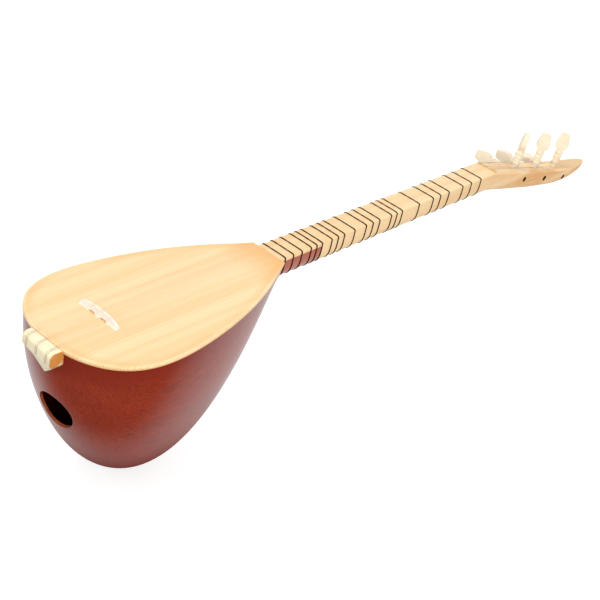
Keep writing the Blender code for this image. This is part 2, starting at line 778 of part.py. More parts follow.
def handle_mesh(name, matrix):
    """The flat, six-cornered finger piece of a peg."""
    half = PEG_HANDLE_WIDTH / 2
    tall = PEG_LENGTH - PEG_HANDLE_AT
    right = [(0.34, 0.0), (0.88, 0.20), (1.0, 0.52), (0.78, 0.90), (0.54, 1.0)]
    outline = [(half * w, PEG_HANDLE_AT + tall * h) for w, h in right]
    outline += [(-x, z) for x, z in reversed(outline)]
    thick = PEG_HANDLE_THICKNESS / 2
    edge = 0.24
    middle = Vector((0.0, PEG_HANDLE_AT + tall * 0.5))
    rings = []
    for depth, shrink in ((-thick, 1 - edge), (-thick * 0.55, 1.0), (thick * 0.55, 1.0), (thick, 1 - edge)):
        ring = []
        for x, z in outline:
            taper = 1 - 0.25 * (z - PEG_HANDLE_AT) / tall
            px = x * shrink
            pz = middle.y + (z - middle.y) * (1 - (1 - shrink) * 0.5)
            ring.append(matrix @ Vector((px, depth * taper, pz)))
        rings.append(ring)
    return loft(name, rings)


def make_pegs(kit, mats):
    for name, place, through, recess, turn in peg_places():
        turned = place @ Matrix.Rotation(math.radians(turn), 4, "Z")
        obj = kit.part(name, peg_turned_mesh(through - recess), mats["peg"])
        obj.matrix_world = turned
        add_screw(obj)
        handle = kit.cutter(name + " handle", handle_mesh(name + " handle", turned))
        use_boolean(obj, handle, "UNION")


def tube(name, points, radius, resolution=1):
    """A closed tube along a run of points, made from a bevelled curve."""
    curve = bpy.data.curves.new(name, "CURVE")
    curve.dimensions = "3D"
    curve.bevel_depth = radius
    curve.bevel_resolution = resolution
    curve.use_fill_caps = True
    spline = curve.splines.new("POLY")
    spline.points.add(len(points) - 1)
    for point, place in zip(spline.points, points):
        point.co = (*place, 1.0)
    holder = bpy.data.objects.new(name + " route", curve)
    bpy.context.scene.collection.objects.link(holder)
    bpy.context.view_layer.update()
    graph = bpy.context.evaluated_depsgraph_get()
    mesh = bpy.data.meshes.new_from_object(holder.evaluated_get(graph))
    bpy.data.objects.remove(holder, do_unlink=True)
    bm = bmesh.new()
    bm.from_mesh(mesh)
    bmesh.ops.remove_doubles(bm, verts=bm.verts, dist=1e-6)
    bpy.data.meshes.remove(mesh)
    return mesh_from_bmesh(name, bm)


def winding_radius():
    return PEG_RADIUS + CLEARANCE + STRING_RADIUS


def winding_points(place, start_angle):
    """A string's turns round a peg, from the string's own end up the shaft."""
    radius = winding_radius()
    points = []
    for i in range(24 * WIND_TURNS + 1):
        a = start_angle + 2 * math.pi * i / 24
        z = WIND_START + WIND_PITCH * i / 24
        points.append(place @ Vector((radius * math.cos(a), radius * math.sin(a), z)))
    return points


def least_gap(points):
    """The smallest clear distance between turns of one winding."""
    table = np.array([tuple(p) for p in points])
    best = 1.0
    for i in range(len(table) - 12):
        reach = np.linalg.norm(table[i + 12:] - table[i], axis=1)
        best = min(best, float(reach.min()))
    return best - 2 * STRING_RADIUS


def tail_run(x):
    """From the tie hole up the block's face and over its rounded top."""
    lift = STRING_RADIUS + CLEARANCE
    wood = block_face(x)
    face = wood - lift
    inside = wood + STRING_TIE_DEPTH * 0.7
    run = [Vector((x, inside, -STRING_TIE_DOWN)), Vector((x, face + 0.0005, -STRING_TIE_DOWN)),
           Vector((x, face + 0.0001, -STRING_TIE_DOWN + 0.0002)),
           Vector((x, face, -STRING_TIE_DOWN + 0.0006))]
    radius = BLOCK_ROUND + lift
    for i in range(6):
        a = math.radians(180 - 84 * i / 5)
        run.append(Vector((x, wood + BLOCK_ROUND + radius * math.cos(a),
                           -BLOCK_ROUND + radius * math.sin(a))))
    return run


def string_top(height):
    return height + CLEARANCE + STRING_RADIUS


def wound_end(place):
    """Where a string meets its own turns on a peg, just outside them."""
    return place @ Vector((winding_radius() + 2 * STRING_RADIUS + CLEARANCE, 0.0, WIND_START))


def front_route(index, x):
    """From the nut to the treble side of a front peg."""
    place, _ = front_peg_matrix(index)
    return [wound_end(place)]


def side_route(index, x):
    """From the nut over the bass edge of the head to the top of a side peg."""
    place, _ = side_peg_matrix(index)
    end = wound_end(place)
    head = head_matrix()
    local = head.inverted() @ end
    edge_x = -NUT_WIDTH / 2
    share = (edge_x - x) / (local.x - x)
    edge = Vector((edge_x - CLEARANCE, local.y * share, STRING_RADIUS + CLEARANCE))
    return [head @ edge, end]


def make_strings(kit, mats):
    for i in range(6):
        nut_x = string_x(i, COURSES_AT_NUT)
        bridge_x = string_x(i, COURSES_AT_BRIDGE)
        run = tail_run(string_x(i, COURSES_AT_TAIL))
        crest = CLEARANCE + bridge_top(bridge_x - BRIDGE_OFFSET)
        run.append(Vector((bridge_x, BRIDGE_Y, string_top(crest))))
        run.append(Vector((nut_x, NUT_Y + CLEARANCE + NUT_LENGTH * 0.1, string_top(NUT_HEIGHT))))
        run.append(Vector((nut_x, NUT_Y + CLEARANCE + NUT_LENGTH * 0.5, string_top(NUT_HEIGHT))))
        run += side_route(i, nut_x) if i < 3 else front_route(i - 3, nut_x)
        name = "string_%d" % (i + 1)
        kit.part(name, tube(name, run, STRING_RADIUS), mats["steel"])


def make_windings(kit, mats):
    gaps = []
    for name, place, _, _, _ in peg_places():
        points = winding_points(place, 0.0)
        gaps.append(least_gap(points))
        label = name.replace("peg", "winding")
        kit.part(label, tube(label, points, STRING_RADIUS), mats["steel"])
    print("least gap between a winding's turns: %.2f mm" % (1000 * min(gaps)))


def build():
    clear_scene()
    kit = Kit()
    mats = {name: material(name, colour) for name, colour in WOODS.items()}
    mats["peg"] = material("peg", (0.93, 0.87, 0.74, 1.0), 0.35)
    mats["gut"] = material("gut", (0.05, 0.03, 0.02, 1.0), 0.35)
    mats["steel"] = material("steel", (0.72, 0.72, 0.70, 1.0), 0.3, 1.0)
    make_bowl(kit, mats)
    make_soundboard(kit, mats)
    make_tail_block(kit, mats)
    make_neck(kit, mats)
    make_frets(kit, mats)
    make_headstock(kit, mats)
    make_nut(kit, mats)
    make_bridge(kit, mats)
    make_pegs(kit, mats)
    make_windings(kit, mats)
    make_strings(kit, mats)
    for name, place, _, _, _ in peg_places():
        axis = place.to_3x3() @ Vector((0.0, 0.0, 1.0))
        print(name, "joint at", [round(v, 5) for v in place.translation],
              "axis", [round(v, 5) for v in axis])


build()
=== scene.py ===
"""The looks of a small long-necked lute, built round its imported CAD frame.

Lengths are in metres, in the CAD's own frame: +Y runs along the strings to
the head, +X is the treble side and +Z stands out of the soundboard.
"""
import math

import bmesh
import bpy
import numpy as np
from bpy.props import FloatProperty, FloatVectorProperty, IntProperty, PointerProperty
from mathutils import Matrix, Vector


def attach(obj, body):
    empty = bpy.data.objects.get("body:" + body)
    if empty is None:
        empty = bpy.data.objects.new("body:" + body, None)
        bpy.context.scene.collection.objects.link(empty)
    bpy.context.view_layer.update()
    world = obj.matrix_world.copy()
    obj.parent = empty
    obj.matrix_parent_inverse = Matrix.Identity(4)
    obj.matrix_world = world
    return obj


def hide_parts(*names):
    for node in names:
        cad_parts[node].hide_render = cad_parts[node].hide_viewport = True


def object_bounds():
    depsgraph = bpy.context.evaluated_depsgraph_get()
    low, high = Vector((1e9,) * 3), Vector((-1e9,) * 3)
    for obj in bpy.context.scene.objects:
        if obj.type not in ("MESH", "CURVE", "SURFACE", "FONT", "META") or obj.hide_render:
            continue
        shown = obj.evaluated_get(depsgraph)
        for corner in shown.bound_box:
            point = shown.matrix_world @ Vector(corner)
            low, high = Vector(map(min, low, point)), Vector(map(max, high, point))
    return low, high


bl_info = {
    "name": "Cura saz",
    "version": (1, 0, 0),
    "blender": (4, 5, 0),
    "location": "View3D > Sidebar > Cura saz",
    "description": "Builds the bowl, board, neck, pegs and strings of a small long-necked lute",
    "category": "Add Mesh",
}

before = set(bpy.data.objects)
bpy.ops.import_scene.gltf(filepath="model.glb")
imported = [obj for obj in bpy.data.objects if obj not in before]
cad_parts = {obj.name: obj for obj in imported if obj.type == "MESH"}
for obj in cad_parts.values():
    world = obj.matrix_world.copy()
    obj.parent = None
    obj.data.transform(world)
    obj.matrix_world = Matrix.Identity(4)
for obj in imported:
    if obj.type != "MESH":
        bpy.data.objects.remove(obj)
CAD_BOX = [list(corner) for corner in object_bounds()]

# the strings' layout along the instrument
SCALE_LENGTH = 0.520
BRIDGE_Y = -0.060
NUT_Y = BRIDGE_Y + SCALE_LENGTH
TAIL_Y = BRIDGE_Y - 0.0546
FRET_CENTS = (90, 150, 204, 294, 350, 400, 498, 620, 660, 702, 792, 845,
              900, 996, 1086, 1141, 1200, 1290, 1343, 1400, 1494, 1586, 1678)
LAST_FRET_TO_BOARD = 0.0063
HEEL_FRET = 18
HEEL_UNDER_FRET = 0.0004
OUTLINE_RUN_ON = 0.0100
CLEARANCE = 0.0003

# soundboard and bowl
BODY_WIDTH = 0.1432
BOARD_THICKNESS = 0.0034
BOARD_OVERHANG = 0.0021
BOARD_FLAT = 0.0013
BOARD_LOW_ROUND = 0.0003
BOARD_CORNER_ROUND = 0.12   # a share of the edge's own radius
BOWL_DEPTH = 0.1590
BOWL_WALL = 0.0024
BOWL_END_EXTRA = 0.0022
HEEL_SOLID = 0.0180
HEEL_BLEND = 0.0053
SOUND_HOLE_RADIUS = 0.0180
SOUND_HOLE_DOWN = 0.0660
SOUND_HOLE_OFFSET = 0.0050
SOUND_HOLE_TILT = 17.8
PLAN_SHAPE = (1.0, -0.512, -0.715, 2.682, -1.753)
DEPTH_SHAPE = (1.0, 0.920, -1.096, 2.974, -3.682)
TAIL_SECTION = 1.9
JOINT_SECTION = 3.2
RIM_Z = -BOARD_THICKNESS - CLEARANCE
TOUCH = 0.00003     # between two pieces that the eye sees as touching

# neck and head
NUT_WIDTH = 0.0260
BODY_END_WIDTH = 0.0285
NECK_DEPTH = 0.0234
NECK_SECTION = 3.2
NECK_TOP_SECTION = 7.0
NECK_EDGE = 0.0029
HEAD_LENGTH = 0.2145
HEAD_TILT = 13.1
HEAD_DROP = 0.0016
HEAD_DEPTH = 0.0219
HEAD_TIP_RISE = 0.0070
HEAD_NARROWS_AT = 0.62
HEAD_TIP_CURVE = 2.2
HEAD_DEPTH_CURVE = (3.5, 0.7)
HEAD_RUN = (-0.04, 1.0395)  # start and length of its rings, in shares of its length
# painted shade at the head's tip: its middle and its size
TIP_OVAL_AT = 0.885         # a share of the head's length
TIP_OVAL = (0.0095, 0.0235, 0.0050)     # half its size each way
FRET_GAP = 0.00002          # between the line and the neck
FRET_TURN_PITCH = 1.94      # in radii of the fret line

# nut and bridge
NUT_LENGTH = 0.0030
NUT_HEIGHT = 0.0012
BRIDGE_LENGTH = 0.0450
BRIDGE_HEIGHT = 0.0066
BRIDGE_BASE = 0.0048
BRIDGE_CREST = 0.0018
BRIDGE_END_HEIGHT = 0.0022
BRIDGE_OFFSET = -0.0029
BRIDGE_ARCH_WIDTH = 0.0078
BRIDGE_ARCH_HEIGHT = 0.0014
BRIDGE_ARCH_SPACING = 0.0136
BRIDGE_TOP_CURVE = 3.2
BRIDGE_FLANK_CURVE = 1.7
# a string's slot: sideways, and down from the crest, in string radii
BRIDGE_SLOT = ((-3.2, -6), (-3.0, 3.4), (-2.0, 4.9), (2.0, 4.9), (3.0, 3.4), (3.2, -6))
NUT_SLOT = 1.7              # radius of the nut's slots, in string radii
NUT_EDGE = 0.0002

# tail block
BLOCK_WIDTH = 0.0380
BLOCK_OUT_TREBLE = 0.0109
BLOCK_OUT_BASS = 0.0076
BLOCK_ROUND = 0.0042
BLOCK_FACE_HEIGHT = 0.0100
BLOCK_END_HEIGHT = 0.0125
BLOCK_SHOULDER_BASS = (0.0088, 0.0165)
BLOCK_SHOULDER_TREBLE = (0.0095, 0.0222)
BLOCK_TIP_HEIGHT = 0.0310
BLOCK_TIP_THICKNESS = 0.0014
BLOCK_EDGE = 0.0008

# strings
STRING_RADIUS = 0.00008
STRING_PAIR = 0.0016
COURSES_AT_TAIL = 0.0130
COURSES_AT_BRIDGE = 0.0105
COURSES_AT_NUT = 0.0080
STRING_TIE_DOWN = 0.0100
STRING_TIE_RADIUS = 0.0006
STRING_TIE_DEPTH = 0.0040
STRING_TIE_BEND = 0.0006

# pegs
PEG_FIRST = 0.0593
PEG_PITCH = 0.0450
PEG_SIDE_STEP = 0.0090
PEG_SIDE_DEPTH = 0.0079
PEG_RADIUS = 0.0040
PEG_END_RADIUS = 0.0028
PEG_TAPER_LENGTH = 0.0260
PEG_CLEARANCE = 0.00025
PEG_RECESS_FRONT = 0.0012
PEG_RECESS_SIDE = 0.0050
PEG_SHAFT = 0.0085
PEG_COLLAR_RADIUS = 0.0047
PEG_COLLAR_AT = 0.0165
PEG_HANDLE_AT = 0.0188
PEG_LENGTH = 0.0395
PEG_HANDLE_WIDTH = 0.0148
PEG_HANDLE_THICKNESS = 0.0068
# one side of the handle, in shares of its half width and its height
PEG_HANDLE_SIDE = ((0.36, 0.0), (0.92, 0.26), (1.0, 0.38), (0.66, 0.94), (0.57, 1.0))
PEG_HANDLE_EDGE = 0.0004
PEG_REAM_OVER = 0.004       # the cutter's run past both faces of the wood
WIND_TURNS = 4
WIND_PITCH = 0.0011
WIND_START = 0.0018
PEG_TURNS_FRONT = (-54.0, 36.0, 26.0)
PEG_TURNS_SIDE = (8.0, -14.0, 74.0)

# colours that no setting changes
# painted shade on the bowl under the soundboard's overhanging edge
SHADE_UNDER_RIM = (0.22, 0.018, 0.006)
# painted shade on the lower bowl, away from the light
SHADE_TOWARDS_BOTTOM = (0.19, 0.017, 0.008)
# painted sheen: a lighter pink on the heel, for grazing light on the red stain
HEEL_PAINTED_SHEEN = (0.52, 0.165, 0.105)
HOLE_WALL = (0.46, 0.10, 0.030)
HOLE_WALL_BANDS = (0.22, 0.040, 0.014)
HOLE_WALL_PORES = (0.08, 0.015, 0.006)
VARNISH_NEAR_RIM = (0.86, 0.46, 0.15)
VARNISH_AT_NECK = (0.90, 0.44, 0.12)
# a darker orange band down the lower side of the board's edge
ORANGE_EDGE_BAND = (0.78, 0.38, 0.11)
# painted shade: the tan middle of the shaded patch at the head's tip
TIP_SHADE_OVAL = (0.76, 0.52, 0.24)
END_GRAIN = (0.64, 0.25, 0.045)
NUT_WOOD = (0.70, 0.42, 0.16)
NUT_BANDS = (0.74, 0.50, 0.24)
NUT_PORES = (0.35, 0.17, 0.06)
# painted shade on the walls of the peg holes
BORE_SHADE = (0.085, 0.032, 0.010)
BORE_SHADE_BANDS = (0.20, 0.085, 0.028)
STRING_ENDS_DARK = (0.10, 0.085, 0.07)
WHITE = (1.0, 1.0, 1.0)

# camera, floor and light
CAMERA_LENS = 83.29
CAMERA_SENSOR = 36.0
CAMERA_PLACE = (0.64808, -0.69409, 0.61396)
CAMERA_RIGHT = (0.72094, 0.66874, 0.18174)
CAMERA_DOWN = (0.47871, -0.29096, -0.82836)
CAMERA_AHEAD = (-0.50108, 0.68419, -0.52990)
FLOOR_PLACE = (0.0, 0.25)
FLOOR_HALF_SIDE = 4.0
FLOOR_GAP = 0.0005
FLOOR_GREY = 0.50
FLOOR_GLOW = 0.72
FLOOR_IN_GLOSS = 0.45
SKY_LEVEL = 0.64
LAMP_TARGET = (0.0, 0.15, -0.03)
LAMPS = (("key lamp", (-0.50, -0.30, 1.76), 1.4, 11.2),
         ("side lamp", (1.46, -0.30, 0.45), 1.3, 12.0),
         ("fill lamp", (-1.20, -1.20, 0.60), 1.2, 6.0),
         ("back lamp", (-0.50, 1.90, 0.90), 1.2, 4.5))


def fret_reach(number):
    """The distance of a fret from the nut."""
    return SCALE_LENGTH * (1 - 2 ** (-FRET_CENTS[number - 1] / 1200))


NUT_TO_BOARD = fret_reach(len(FRET_CENTS)) + LAST_FRET_TO_BOARD
BOARD_END_Y = NUT_Y - NUT_TO_BOARD
OUTLINE_END_Y = BOARD_END_Y + OUTLINE_RUN_ON
HEEL_END_Y = NUT_Y - fret_reach(HEEL_FRET) - HEEL_UNDER_FRET


# values that a user would change

class SazSizes(bpy.types.PropertyGroup):
    """How finely the pieces are rounded, tied and wound."""
    board_round: FloatProperty(
        name="Board edge", default=0.0015, min=0.0, max=0.0017, unit="LENGTH",
        description="Radius of the soundboard's upper edge")
    hole_round: FloatProperty(
        name="Sound hole edge", default=0.0006, min=0.0001, max=0.002, unit="LENGTH",
        description="Radius of the sound hole's rim")
    fret_strands: IntProperty(
        name="Fret turns", default=3, min=1, max=5,
        description="How many times the line goes round the neck at each fret")
    fret_line: FloatProperty(
        name="Fret line", default=0.00025, min=0.0001, max=0.0004, unit="LENGTH",
        description="Radius of the line that the frets are tied with")
    string_sides: IntProperty(
        name="String sides", default=10, min=6, max=24,
        description="Sides of a string's round section")


def colour_setting(name, default, description):
    return FloatVectorProperty(name=name, subtype="COLOR", size=3, min=0.0, max=1.0,
                               default=default, description=description)


class SazFinish(bpy.types.PropertyGroup):
    """Colours of the woods and strings, and the level of the light."""
    bowl: colour_setting("Bowl", (0.290, 0.035, 0.014), "Stained wood of the bowl")
    board: colour_setting("Soundboard", (0.98, 0.735, 0.42), "Varnished spruce")
    neck: colour_setting("Neck", (0.98, 0.69, 0.38), "Wood of the neck and head")
    block: colour_setting("Tail block", (1.0, 0.87, 0.60), "Pale wood of the block")
    peg: colour_setting("Pegs", (0.98, 0.87, 0.67), "Pale wood of the pegs")
    bridge: colour_setting("Bridge", (0.94, 0.92, 0.85), "Bare wood of the bridge")
    fret: colour_setting("Frets", (0.007, 0.0035, 0.002), "Line of the tied frets")
    steel: colour_setting("Strings", (0.74, 0.66, 0.52), "Steel of the strings")
    grain: FloatProperty(name="Grain", default=1.0, min=0.0, max=2.0,
                         description="Strength of every wood's grain")
    lamp: FloatProperty(name="Lamp", default=1.0, min=0.1, max=3.0,
                        description="Level of the soft lamps")


def sizes():
    return bpy.context.scene.saz_sizes


def finish():
    return bpy.context.scene.saz_finish


# meshes

def new_object(name, data):
    obj = bpy.data.objects.new(name, data)
    bpy.context.scene.collection.objects.link(obj)
    return obj


def mesh_from_bmesh(name, bm):
    bmesh.ops.recalc_face_normals(bm, faces=bm.faces)
    mesh = bpy.data.meshes.new(name)
    bm.to_mesh(mesh)
    bm.free()
    return mesh


def loft(name, rings):
    """Skin a row of closed rings that have the same number of points, and close its ends."""
    bm = bmesh.new()
    rows = [[bm.verts.new(p) for p in ring] for ring in rings]
    count = len(rows[0])
    for a, b in zip(rows, rows[1:]):
        for i in range(count):
            j = (i + 1) % count
            bm.faces.new((a[i], a[j], b[j], b[i]))
    bm.faces.new(rows[0][::-1])
    bm.faces.new(rows[-1])
    return mesh_from_bmesh(name, bm)


def lofted(name, rings):
    return new_object(name, loft(name, rings))


def prism(name, outline, low, high, axis):
    """An outline drawn across an axis and carried along it."""
    place = {"X": lambda a, b, h: (h, a, b), "Y": lambda a, b, h: (a, h, b)}[axis]
    return loft(name, [[place(a, b, h) for a, b in outline] for h in (low, high)])


def turned_about(axis, degrees):
    return Matrix.Rotation(math.radians(degrees), 4, axis)


def baked(obj):
    """Apply an object's modifiers, leaving a plain mesh."""
    bpy.context.view_layer.update()
    graph = bpy.context.evaluated_depsgraph_get()
    mesh = bpy.data.meshes.new_from_object(obj.evaluated_get(graph))
    obj.modifiers.clear()
    obj.data = mesh
    return obj


def boolean(obj, mesh, operation="DIFFERENCE"):
    """Cut, join or trim a piece with another mesh, at once."""
    cutter = new_object(mesh.name, mesh)
    mod = obj.modifiers.new("boolean", "BOOLEAN")
    mod.operation = operation
    mod.solver = "EXACT"
    mod.object = cutter
    baked(obj)
    bpy.data.objects.remove(cutter, do_unlink=True)
    return obj


def bevelled(obj, width, segments, degrees):
    mod = obj.modifiers.new("soft edges", "BEVEL")
    mod.width = width
    mod.segments = segments
    mod.limit_method = "ANGLE"
    mod.angle_limit = math.radians(degrees)
    return baked(obj)


def smooth(obj, degrees):
    obj.data.shade_smooth()
    obj.data.set_sharp_from_angle(angle=math.radians(degrees))
    return obj


def dress(obj, mat, body, nodes):
    """Give a finished piece its material, its body and the CAD nodes it stands for."""
    obj.data.materials.clear()
    obj.data.materials.append(mat)
    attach(obj, body)
    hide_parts(*nodes)
    return obj


# the rules of the shape

def power(value, exponent):
    return math.copysign(abs(value) ** exponent, value)


def held(share):
    """A share kept between none and all."""
    return min(max(share, 0.0), 1.0)


def angles_round(sides, start=0.0):
    return [2 * math.pi * (i + start) / sides for i in range(sides)]


def boundary(low, high, holds, steps):
    """Halve a range down to the place past which a test no longer holds."""
    for _ in range(steps):
        middle = (low + high) / 2
        if holds(middle):
            low = middle
        else:
            high = middle
    return low


class Swell:
    """A length that starts at nothing at the tail, swells and ends at the neck."""

    def __init__(self, shape, start, stop, end, peak):
        self.shape, self.start, self.stop, self.end = shape, start, stop, end
        u = np.linspace(0.0, 1.0, 401)
        belly = np.sqrt(u) * (1 - u) * np.polyval(shape[::-1], u)
        self.scale = boundary(0.0, 10 * peak,
                              lambda scale: (end * u ** 2 + scale * belly).max() < peak, 60)

    def __call__(self, y):
        u = held((y - self.start) / (self.stop - self.start))
        belly = math.sqrt(u) * (1 - u) * float(np.polyval(self.shape[::-1], u))
        return self.end * u ** 2 + self.scale * belly


def neck_half_width(y):
    share = (NUT_Y - y) / NUT_TO_BOARD
    return (NUT_WIDTH + (BODY_END_WIDTH - NUT_WIDTH) * share) / 2


class BowlShape:
    """Half width, depth and section of the bowl at a place along it."""

    def __init__(self, inset=0.0):
        self.start = TAIL_Y + inset
        trim = BOARD_OVERHANG + inset
        plan_end = neck_half_width(OUTLINE_END_Y) - trim
        self.plan = Swell(PLAN_SHAPE, self.start, OUTLINE_END_Y, plan_end, BODY_WIDTH / 2 - trim)
        depth_end = NECK_DEPTH + RIM_Z + BOWL_END_EXTRA - inset
        self.depth = Swell(DEPTH_SHAPE, self.start, BOARD_END_Y, depth_end, BOWL_DEPTH - inset)

    def at(self, y):
        u = held((y - self.start) / (BOARD_END_Y - self.start))
        return self.plan(y), self.depth(y), TAIL_SECTION + (JOINT_SECTION - TAIL_SECTION) * u ** 2

    def holds(self, point):
        """Whether a point lies inside the bowl's outer skin."""
        if not self.start < point.y < BOARD_END_Y:
            return False
        plan, depth, n = self.at(point.y)
        down = max(RIM_Z - point.z, 0.0)
        return (abs(point.x) / plan) ** n + (down / depth) ** n < 1


def under_arc(half_width, top, depth, exponent, segments):
    """The lower half of a rounded section, from the treble edge to the bass edge."""
    points = []
    for i in range(segments + 1):
        a = math.pi * i / segments
        points.append((half_width * power(math.cos(a), 2 / exponent),
                       top - depth * abs(math.sin(a)) ** (2 / exponent)))
    return points


def heel_arc(y, segments):
    """The neck's own section below the rim, so that the heel runs on from it."""
    centre = -NECK_EDGE
    depth = NECK_DEPTH - NECK_EDGE
    first = math.asin(((centre - RIM_Z) / depth) ** (NECK_SECTION / 2))
    half = neck_half_width(y)
    points = []
    for i in range(segments + 1):
        a = first + (math.pi - 2 * first) * i / segments
        points.append((half * power(math.cos(a), 2 / NECK_SECTION),
                       centre - depth * math.sin(a) ** (2 / NECK_SECTION)))
    return points


def bowl_ring(shape, y, grow, segments):
    plan, depth, exponent = shape.at(y)
    share = held((y - BOARD_END_Y) / HEEL_BLEND)
    k = share * share * (3 - 2 * share)
    arc = under_arc(plan + grow, RIM_Z, depth + grow, exponent, segments)
    heel = heel_arc(y, segments)
    return [(a[0] * (1 - k) + b[0] * k, y, a[1] * (1 - k) + b[1] * k) for a, b in zip(arc, heel)]


def bowl_stations(start, stop, count):
    """Places along the bowl, close together at the blunt tail."""
    return [start + (stop - start) * (max(i, 0.25) / count) ** 2 for i in range(count + 1)]


def bowl_outer(grow=0.0, segments=112, count=104):
    """The bowl's skin from the tail to the heel's end, blended into the neck's section."""
    shape = BowlShape()
    ys = bowl_stations(TAIL_Y, BOARD_END_Y, count)
    ys += [BOARD_END_Y + HEEL_BLEND * i / 12 for i in range(1, 13)]
    run = BOARD_END_Y + HEEL_BLEND - HEEL_END_Y
    ys += [HEEL_END_Y + run * (1 - i / 10) for i in range(1, 11)]
    rings = [bowl_ring(shape, y, grow, segments) for y in ys]
    return [[(x, y - grow, z) for x, y, z in ring] for ring in rings]


def bowl_inner(segments=80, count=70):
    """The hollow, with its walls carried straight up through the rim."""
    shape = BowlShape(inset=BOWL_WALL)
    rings = []
    for y in bowl_stations(shape.start, BOARD_END_Y - HEEL_SOLID, count):
        plan, depth, exponent = shape.at(y)
        lid = RIM_Z + BOWL_WALL
        arc = under_arc(plan, RIM_Z, depth, exponent, segments)
        rings.append([(plan, y, lid)] + [(x, y, z) for x, z in arc] + [(-plan, y, lid)])
    return rings


def hole_matrix():
    """Centre of the sound hole on the bowl's tail, with Z along the hole's axis."""
    shape = BowlShape()

    def too_shallow(y):
        plan, depth, n = shape.at(y)
        share = min(abs(SOUND_HOLE_OFFSET) / max(plan, 1e-6), 1.0)
        return depth * (1 - share ** n) ** (1 / n) < SOUND_HOLE_DOWN

    y = boundary(TAIL_Y, BRIDGE_Y, too_shallow, 50)
    centre = Vector((SOUND_HOLE_OFFSET, y, RIM_Z - SOUND_HOLE_DOWN))
    return Matrix.Translation(centre) @ turned_about("X", 90 + SOUND_HOLE_TILT)


def hole_cutter(rim, sides=72):
    """A drill whose mouth flares into the bowl's skin, so that the rim comes out rounded."""
    shape, place = BowlShape(), hole_matrix()
    reach = 5 * BOWL_WALL
    out = 1.0 if not shape.holds(place @ Vector((0.0, 0.0, reach))) else -1.0

    def skin(radius, angle):
        """How far along the hole's axis the skin lies at this place round it."""
        x, y = radius * math.cos(angle), radius * math.sin(angle)
        return boundary(-reach, reach,
                        lambda height: shape.holds(place @ Vector((x, y, height * out))), 40)

    columns = []
    for a in angles_round(sides):
        near, far = skin(SOUND_HOLE_RADIUS, a), skin(SOUND_HOLE_RADIUS + rim, a)
        column = [(SOUND_HOLE_RADIUS, -reach)]
        for k in range(7):
            b = math.pi / 2 * k / 6
            share = 1 - math.cos(b)
            skin_here = near + (far - near) * share
            column.append((SOUND_HOLE_RADIUS + rim * share, skin_here - rim * (1 - math.sin(b))))
        slope = (far - near) / rim
        column.append((SOUND_HOLE_RADIUS + 1.6 * rim, far + slope * 0.6 * rim + 0.0004))
        column.append((SOUND_HOLE_RADIUS + 1.6 * rim, reach + rim))
        columns.append([(r * math.cos(a), r * math.sin(a), h * out) for r, h in column])
    rings = [[place @ Vector(column[k]) for column in columns] for k in range(len(columns[0]))]
    return loft("sound hole", rings)


# node trees

FLOAT, WHOLE, VECTOR = "NodeSocketFloat", "NodeSocketInt", "NodeSocketVector"
SHAPE, MATERIAL = "NodeSocketGeometry", "NodeSocketMaterial"
QUARTER_TURN = (math.radians(90), 0.0, 0.0)


class Tree:
    """A node tree being built, with short ways to add nodes and sums."""

    def __init__(self, tree):
        self.tree = tree

    def add(self, kind, inputs=None, **settings):
        """Add a node, set it up, and feed its inputs, given by name or number."""
        node = self.tree.nodes.new(kind)
        for key, value in settings.items():
            setattr(node, key, value)
        for key, value in (inputs or {}).items():
            self.feed(node.inputs[key], value)
        return node

    def link(self, source, socket):
        self.tree.links.new(source, socket)

    def feed(self, socket, value):
        """Link a socket to another one, or set its value."""
        if isinstance(value, bpy.types.NodeSocket):
            self.link(value, socket)
        else:
            socket.default_value = value

    def math(self, operation, *values, clamp=False):
        return self.add("ShaderNodeMath", dict(enumerate(values)), operation=operation,
                        use_clamp=clamp).outputs[0]

    def vector(self, operation, *values):
        node = self.add("ShaderNodeVectorMath", dict(enumerate(values)), operation=operation)
        return node.outputs["Value" if operation == "LENGTH" else "Vector"]

    def blend(self, share, first, second):
        """Mix two colours by a share."""
        node = self.add("ShaderNodeMix", {"Factor": share}, data_type="RGBA")
        for socket, value in zip([s for s in node.inputs if s.type == "RGBA"], (first, second)):
            self.feed(socket, value if isinstance(value, bpy.types.NodeSocket) else tint(value))
        return [s for s in node.outputs if s.type == "RGBA"][0]

    def ramp(self, value, low, high, first=0.0, last=1.0):
        """Bring a value from one range smoothly into another."""
        numbers = dict(enumerate((value, low, high, first, last)))
        node = self.add("ShaderNodeMapRange", numbers, interpolation_type="SMOOTHSTEP")
        return node.outputs["Result"]

    def spot(self):
        """The place on a piece, in the CAD's frame."""
        return self.add("ShaderNodeTexCoord").outputs["Object"]

    def split(self, vector):
        return self.add("ShaderNodeSeparateXYZ", {0: vector}).outputs

    def joined(self, x=0.0, y=0.0, z=0.0):
        return self.add("ShaderNodeCombineXYZ", {0: x, 1: y, 2: z}).outputs[0]


def tint(colour):
    return (*colour[:3], 1.0)


def node_group(name, kind, inputs, outputs):
    """A group with named inputs and outputs; returns its tree, input and output nodes."""
    tree = bpy.data.node_groups.new(name, kind)
    for label, socket_type, value in inputs:
        socket = tree.interface.new_socket(name=label, in_out="INPUT", socket_type=socket_type)
        if value is not None:
            socket.default_value = value
    for label, socket_type in outputs:
        tree.interface.new_socket(name=label, in_out="OUTPUT", socket_type=socket_type)
    t = Tree(tree)
    return t, t.add("NodeGroupInput").outputs, t.add("NodeGroupOutput").inputs


def piece_tree(name, inputs):
    """A geometry tree that takes a shape, some sizes and a material, and gives a shape."""
    inputs = [("Geometry", SHAPE, None), *inputs, ("Material", MATERIAL, None)]
    return node_group(name, "GeometryNodeTree", inputs, [("Geometry", SHAPE)])


def end_tree(t, shape, made, given):
    """Every tree's last steps: real geometry, and its material."""
    real = t.add("GeometryNodeRealizeInstances", {0: shape})
    paint = t.add("GeometryNodeSetMaterial",
                  {"Geometry": real.outputs[0], "Material": given["Material"]})
    t.link(paint.outputs[0], made["Geometry"])


